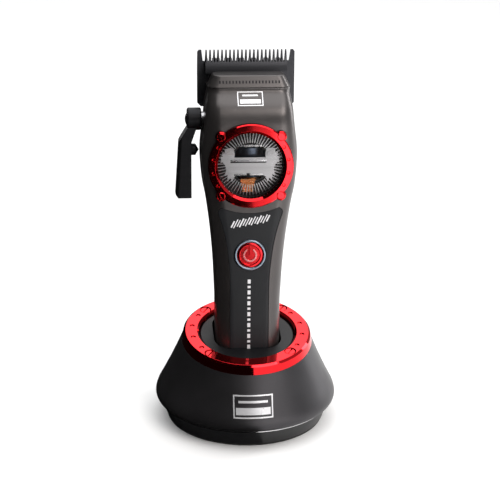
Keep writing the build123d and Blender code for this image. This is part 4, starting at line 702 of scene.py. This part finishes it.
class CLIPPER_OT_marks(bpy.types.Operator):
    """Lay plain marks on the head, the panel and the stand, and dark bars of painted groove shade on the nose cap
    """

    bl_idname = "clipper.marks"
    bl_label = "Lay the marks"

    def execute(self, context):
        sizes = context.scene.clipper_sizes
        stand_low, stand_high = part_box("stand_shell")
        badge_z = (stand_low.z + STAND_BADGE_SHARE * (stand_high.z - stand_low.z)
                   + STAND_BADGE_LIFT)
        wide, tall, line = sizes.badge_width, sizes.badge_height, sizes.badge_line
        badge = badge_bars(badge_z, wide, tall, line, (
            (-tall * 0.20, wide - 4 * line, tall * 0.30),
            (tall * 0.20, wide - 8 * line, tall * 0.10)))
        laid_marks("stand_badge", "stand_shell", badge, "stand", "mark")

        head = badge_bars(FROM_BOTTOM + HEAD_BADGE_AT, *HEAD_BADGE, HEAD_BADGE_BARS)
        laid_marks("head_badge", "front_shell", head, "clipper", "mark", CLIPPER)

        streaks = [
            (STREAK_PITCH * step, FROM_BOTTOM + STREAKS_AT + STREAK_CLIMB * step,
             STREAK_WIDTHS[step % 3 == 0], STREAK_HEIGHTS[step % 2], STREAK_LEAN)
            for step in STREAK_STEPS
        ]
        dashes = [
            (DASH_ACROSS, FROM_BOTTOM + DASHES_AT + DASH_PITCH * step,
             DASH_WIDTH, DASH_HEIGHTS[step % 2], 0.0)
            for step in DASH_STEPS
        ]
        for name, bars in (("panel_streaks", streaks), ("panel_dashes", dashes)):
            laid_marks(name, "front_panel", bars, "clipper", "mark_white", CLIPPER)

        # Dark raised bars on the nose cap: painted shade of its debossed grooves.
        nose_low, nose_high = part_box("nose_cap")
        nose_z = (TO_CLIPPER @ ((nose_low + nose_high) / 2)).z - NOSE_DROP
        row = [(NOSE_PITCH * step, nose_z, *NOSE_BAR, 0.0) for step in NOSE_STEPS]
        laid_marks(
            "nose_groove_shade", "nose_cap", row, "clipper", "dark_steel", CLIPPER, NOSE_THICK)
        return {"FINISHED"}


class CLIPPER_OT_stage(bpy.types.Operator):
    """Set the floor, the soft lights and the camera"""

    bl_idname = "clipper.stage"
    bl_label = "Set the stage"

    def execute(self, context):
        make_floor(context.scene.clipper_colours)
        make_world()
        make_lights()
        make_camera(context.scene.clipper_sizes)
        return {"FINISHED"}


# ---------------------------------------------------------------- stage
STAGE_MIDDLE = Vector((0.0015, 0.0, 0.0839))
CAMERA_HEIGHT = math.radians(19.56)
CAMERA_SIDE = math.radians(5.68)
CAMERA_ROLL = math.radians(0.74)
SENSOR_WIDTH = 36.0
FLOOR_RADIUS = 3.0
WORLD_STRENGTH = 0.45

# Black cards on the left: their lift off the floor, top, left end, front and rear edges.
FLAG_LIFT = 0.0006
FLAG_TOP = 1.0
FLAG_END = -1.2
FLAG_FRONT = -0.40
FLAG_REAR = 0.9
FLAG_SIDE = -0.30


def make_floor(colours):
    """Pale round floor."""
    bm = bmesh.new()
    bmesh.ops.create_circle(bm, cap_ends=True, segments=96, radius=FLOOR_RADIUS)
    mesh = bpy.data.meshes.new("floor")
    bm.to_mesh(mesh)
    bm.free()
    floor = bpy.data.objects.new("floor", mesh)
    bpy.context.scene.collection.objects.link(floor)
    floor.data.materials.append(
        grained("Floor", tuple(colours.floor), 0.55, 0.0, 60.0, 0.0002, 0.05, 0.01))


def make_world():
    """Even white light from all round."""
    world = bpy.data.worlds.new("Studio")
    world.use_nodes = True
    background = world.node_tree.nodes["Background"]
    background.inputs["Color"].default_value = (1.0, 1.0, 1.0, 1.0)
    background.inputs["Strength"].default_value = WORLD_STRENGTH
    bpy.context.scene.world = world


def add_light(name, place, aim, width, height, power, colour=(1.0, 1.0, 1.0)):
    """Rectangular softbox that faces a point."""
    light = bpy.data.lights.new(name, "AREA")
    light.shape = "RECTANGLE"
    light.size, light.size_y = width, height
    light.energy = power
    light.color = colour
    holder = bpy.data.objects.new(name, light)
    bpy.context.scene.collection.objects.link(holder)
    holder.location = place
    holder.rotation_euler = (Vector(aim) - Vector(place)).to_track_quat("-Z", "Y").to_euler()


def add_flag(name, corners):
    """Black card that only darkens reflections; nothing else sees it."""
    bm = bmesh.new()
    bm.faces.new([bm.verts.new(corner) for corner in corners])
    mesh = bpy.data.meshes.new(name)
    bm.to_mesh(mesh)
    bm.free()
    flag = bpy.data.objects.new(name, mesh)
    bpy.context.scene.collection.objects.link(flag)
    material, shader = start_material(name, (0.004, 0.004, 0.004))
    shader.inputs["Roughness"].default_value = 1.0
    shader.inputs["Specular IOR Level"].default_value = 0.0
    flag.data.materials.append(material)
    flag.visible_camera = False
    flag.visible_diffuse = False
    flag.visible_shadow = False
    flag.visible_transmission = False


def make_lights():
    """Wide overhead light, a key and a low card on the right, a rim light and dark flags."""
    add_light("overhead", (0.0, 0.35, 1.5), (0.0, 0.1, 0.0), 2.6, 2.6, 40.0)
    add_light("key_softbox", (0.36, -0.58, 0.70), STAGE_MIDDLE, 0.50, 0.40, 2.9, (1.0, 0.94, 0.90))
    add_light("low_card", (0.31, -0.45, 0.085), (0.31, 0.0, 0.10), 0.50, 0.11, 0.55,
              (1.0, 0.96, 0.94))
    add_light("rim_softbox", (0.65, 0.25, 0.30), STAGE_MIDDLE, 0.16, 0.50, 2.0)
    # The right edges of the first two flags run along the mirror image of the camera's line of
    # sight, which moves this far to the right for each metre towards the front.
    slope = 0.096
    add_flag("flag_floor", (
        (FLAG_END, FLAG_REAR, FLAG_LIFT), (FLAG_END, FLAG_END, FLAG_LIFT),
        (-slope * FLAG_END, FLAG_END, FLAG_LIFT), (slope * 0.06, -0.06, FLAG_LIFT),
        (-0.02, FLAG_REAR, FLAG_LIFT)))
    for name, start, end in (
            ("flag_front", (FLAG_END, FLAG_FRONT), (-slope * FLAG_FRONT, FLAG_FRONT)),
            ("flag_left", (FLAG_SIDE, FLAG_FRONT), (FLAG_SIDE, FLAG_REAR))):
        add_flag(name, (
            (*start, FLAG_LIFT), (*end, FLAG_LIFT), (*end, FLAG_TOP), (*start, FLAG_TOP)))


def make_camera(sizes):
    """Camera in front, a little to the lever's side, looking slightly down."""
    away = Vector((
        -math.sin(CAMERA_SIDE) * math.cos(CAMERA_HEIGHT),
        -math.cos(CAMERA_SIDE) * math.cos(CAMERA_HEIGHT),
        math.sin(CAMERA_HEIGHT),
    ))
    right = (-away).cross(Vector((0, 0, 1))).normalized()
    over = right.cross(-away)
    rolled_right = right * math.cos(CAMERA_ROLL) + over * math.sin(CAMERA_ROLL)
    rolled_over = over * math.cos(CAMERA_ROLL) - right * math.sin(CAMERA_ROLL)
    camera = bpy.data.cameras.new("camera")
    camera.lens = sizes.camera_lens
    camera.sensor_width = SENSOR_WIDTH
    holder = bpy.data.objects.new("camera", camera)
    bpy.context.scene.collection.objects.link(holder)
    turn = Matrix((rolled_right, rolled_over, away)).transposed().to_4x4()
    holder.matrix_world = Matrix.Translation(STAGE_MIDDLE + away * sizes.camera_distance) @ turn
    bpy.context.scene.camera = holder
    bpy.context.scene.view_settings.view_transform = "Standard"


# ---------------------------------------------------------------- panel and registration
STEPS = (CLIPPER_OT_casings, CLIPPER_OT_fins, CLIPPER_OT_bracket, CLIPPER_OT_coil, CLIPPER_OT_marks,
         CLIPPER_OT_stage)


class CLIPPER_PT_builder(bpy.types.Panel):
    """Sizes, colours and steps of the clipper"""

    bl_idname = "CLIPPER_PT_builder"
    bl_label = "Clipper"
    bl_space_type = "VIEW_3D"
    bl_region_type = "UI"
    bl_category = "Clipper"

    def draw(self, context):
        for group in (context.scene.clipper_sizes, context.scene.clipper_colours):
            for name in group.bl_rna.properties.keys():
                if name not in {"rna_type", "name"}:
                    self.layout.prop(group, name)
        for step in STEPS:
            self.layout.operator(step.bl_idname)


CLASSES = (ClipperSizes, ClipperColours, *STEPS, CLIPPER_PT_builder)


def register():
    for cls in CLASSES:
        bpy.utils.register_class(cls)
    bpy.types.Scene.clipper_sizes = PointerProperty(type=ClipperSizes)
    bpy.types.Scene.clipper_colours = PointerProperty(type=ClipperColours)


def unregister():
    del bpy.types.Scene.clipper_colours
    del bpy.types.Scene.clipper_sizes
    for cls in reversed(CLASSES):
        bpy.utils.unregister_class(cls)


def main():
    register()
    make_finishes(bpy.context.scene.clipper_colours)
    bpy.ops.clipper.casings()
    bpy.ops.clipper.fins()
    bpy.ops.clipper.bracket()
    bpy.ops.clipper.coil()
    bpy.ops.clipper.marks()
    bpy.ops.clipper.stage()


if __name__ == "__main__":
    main()
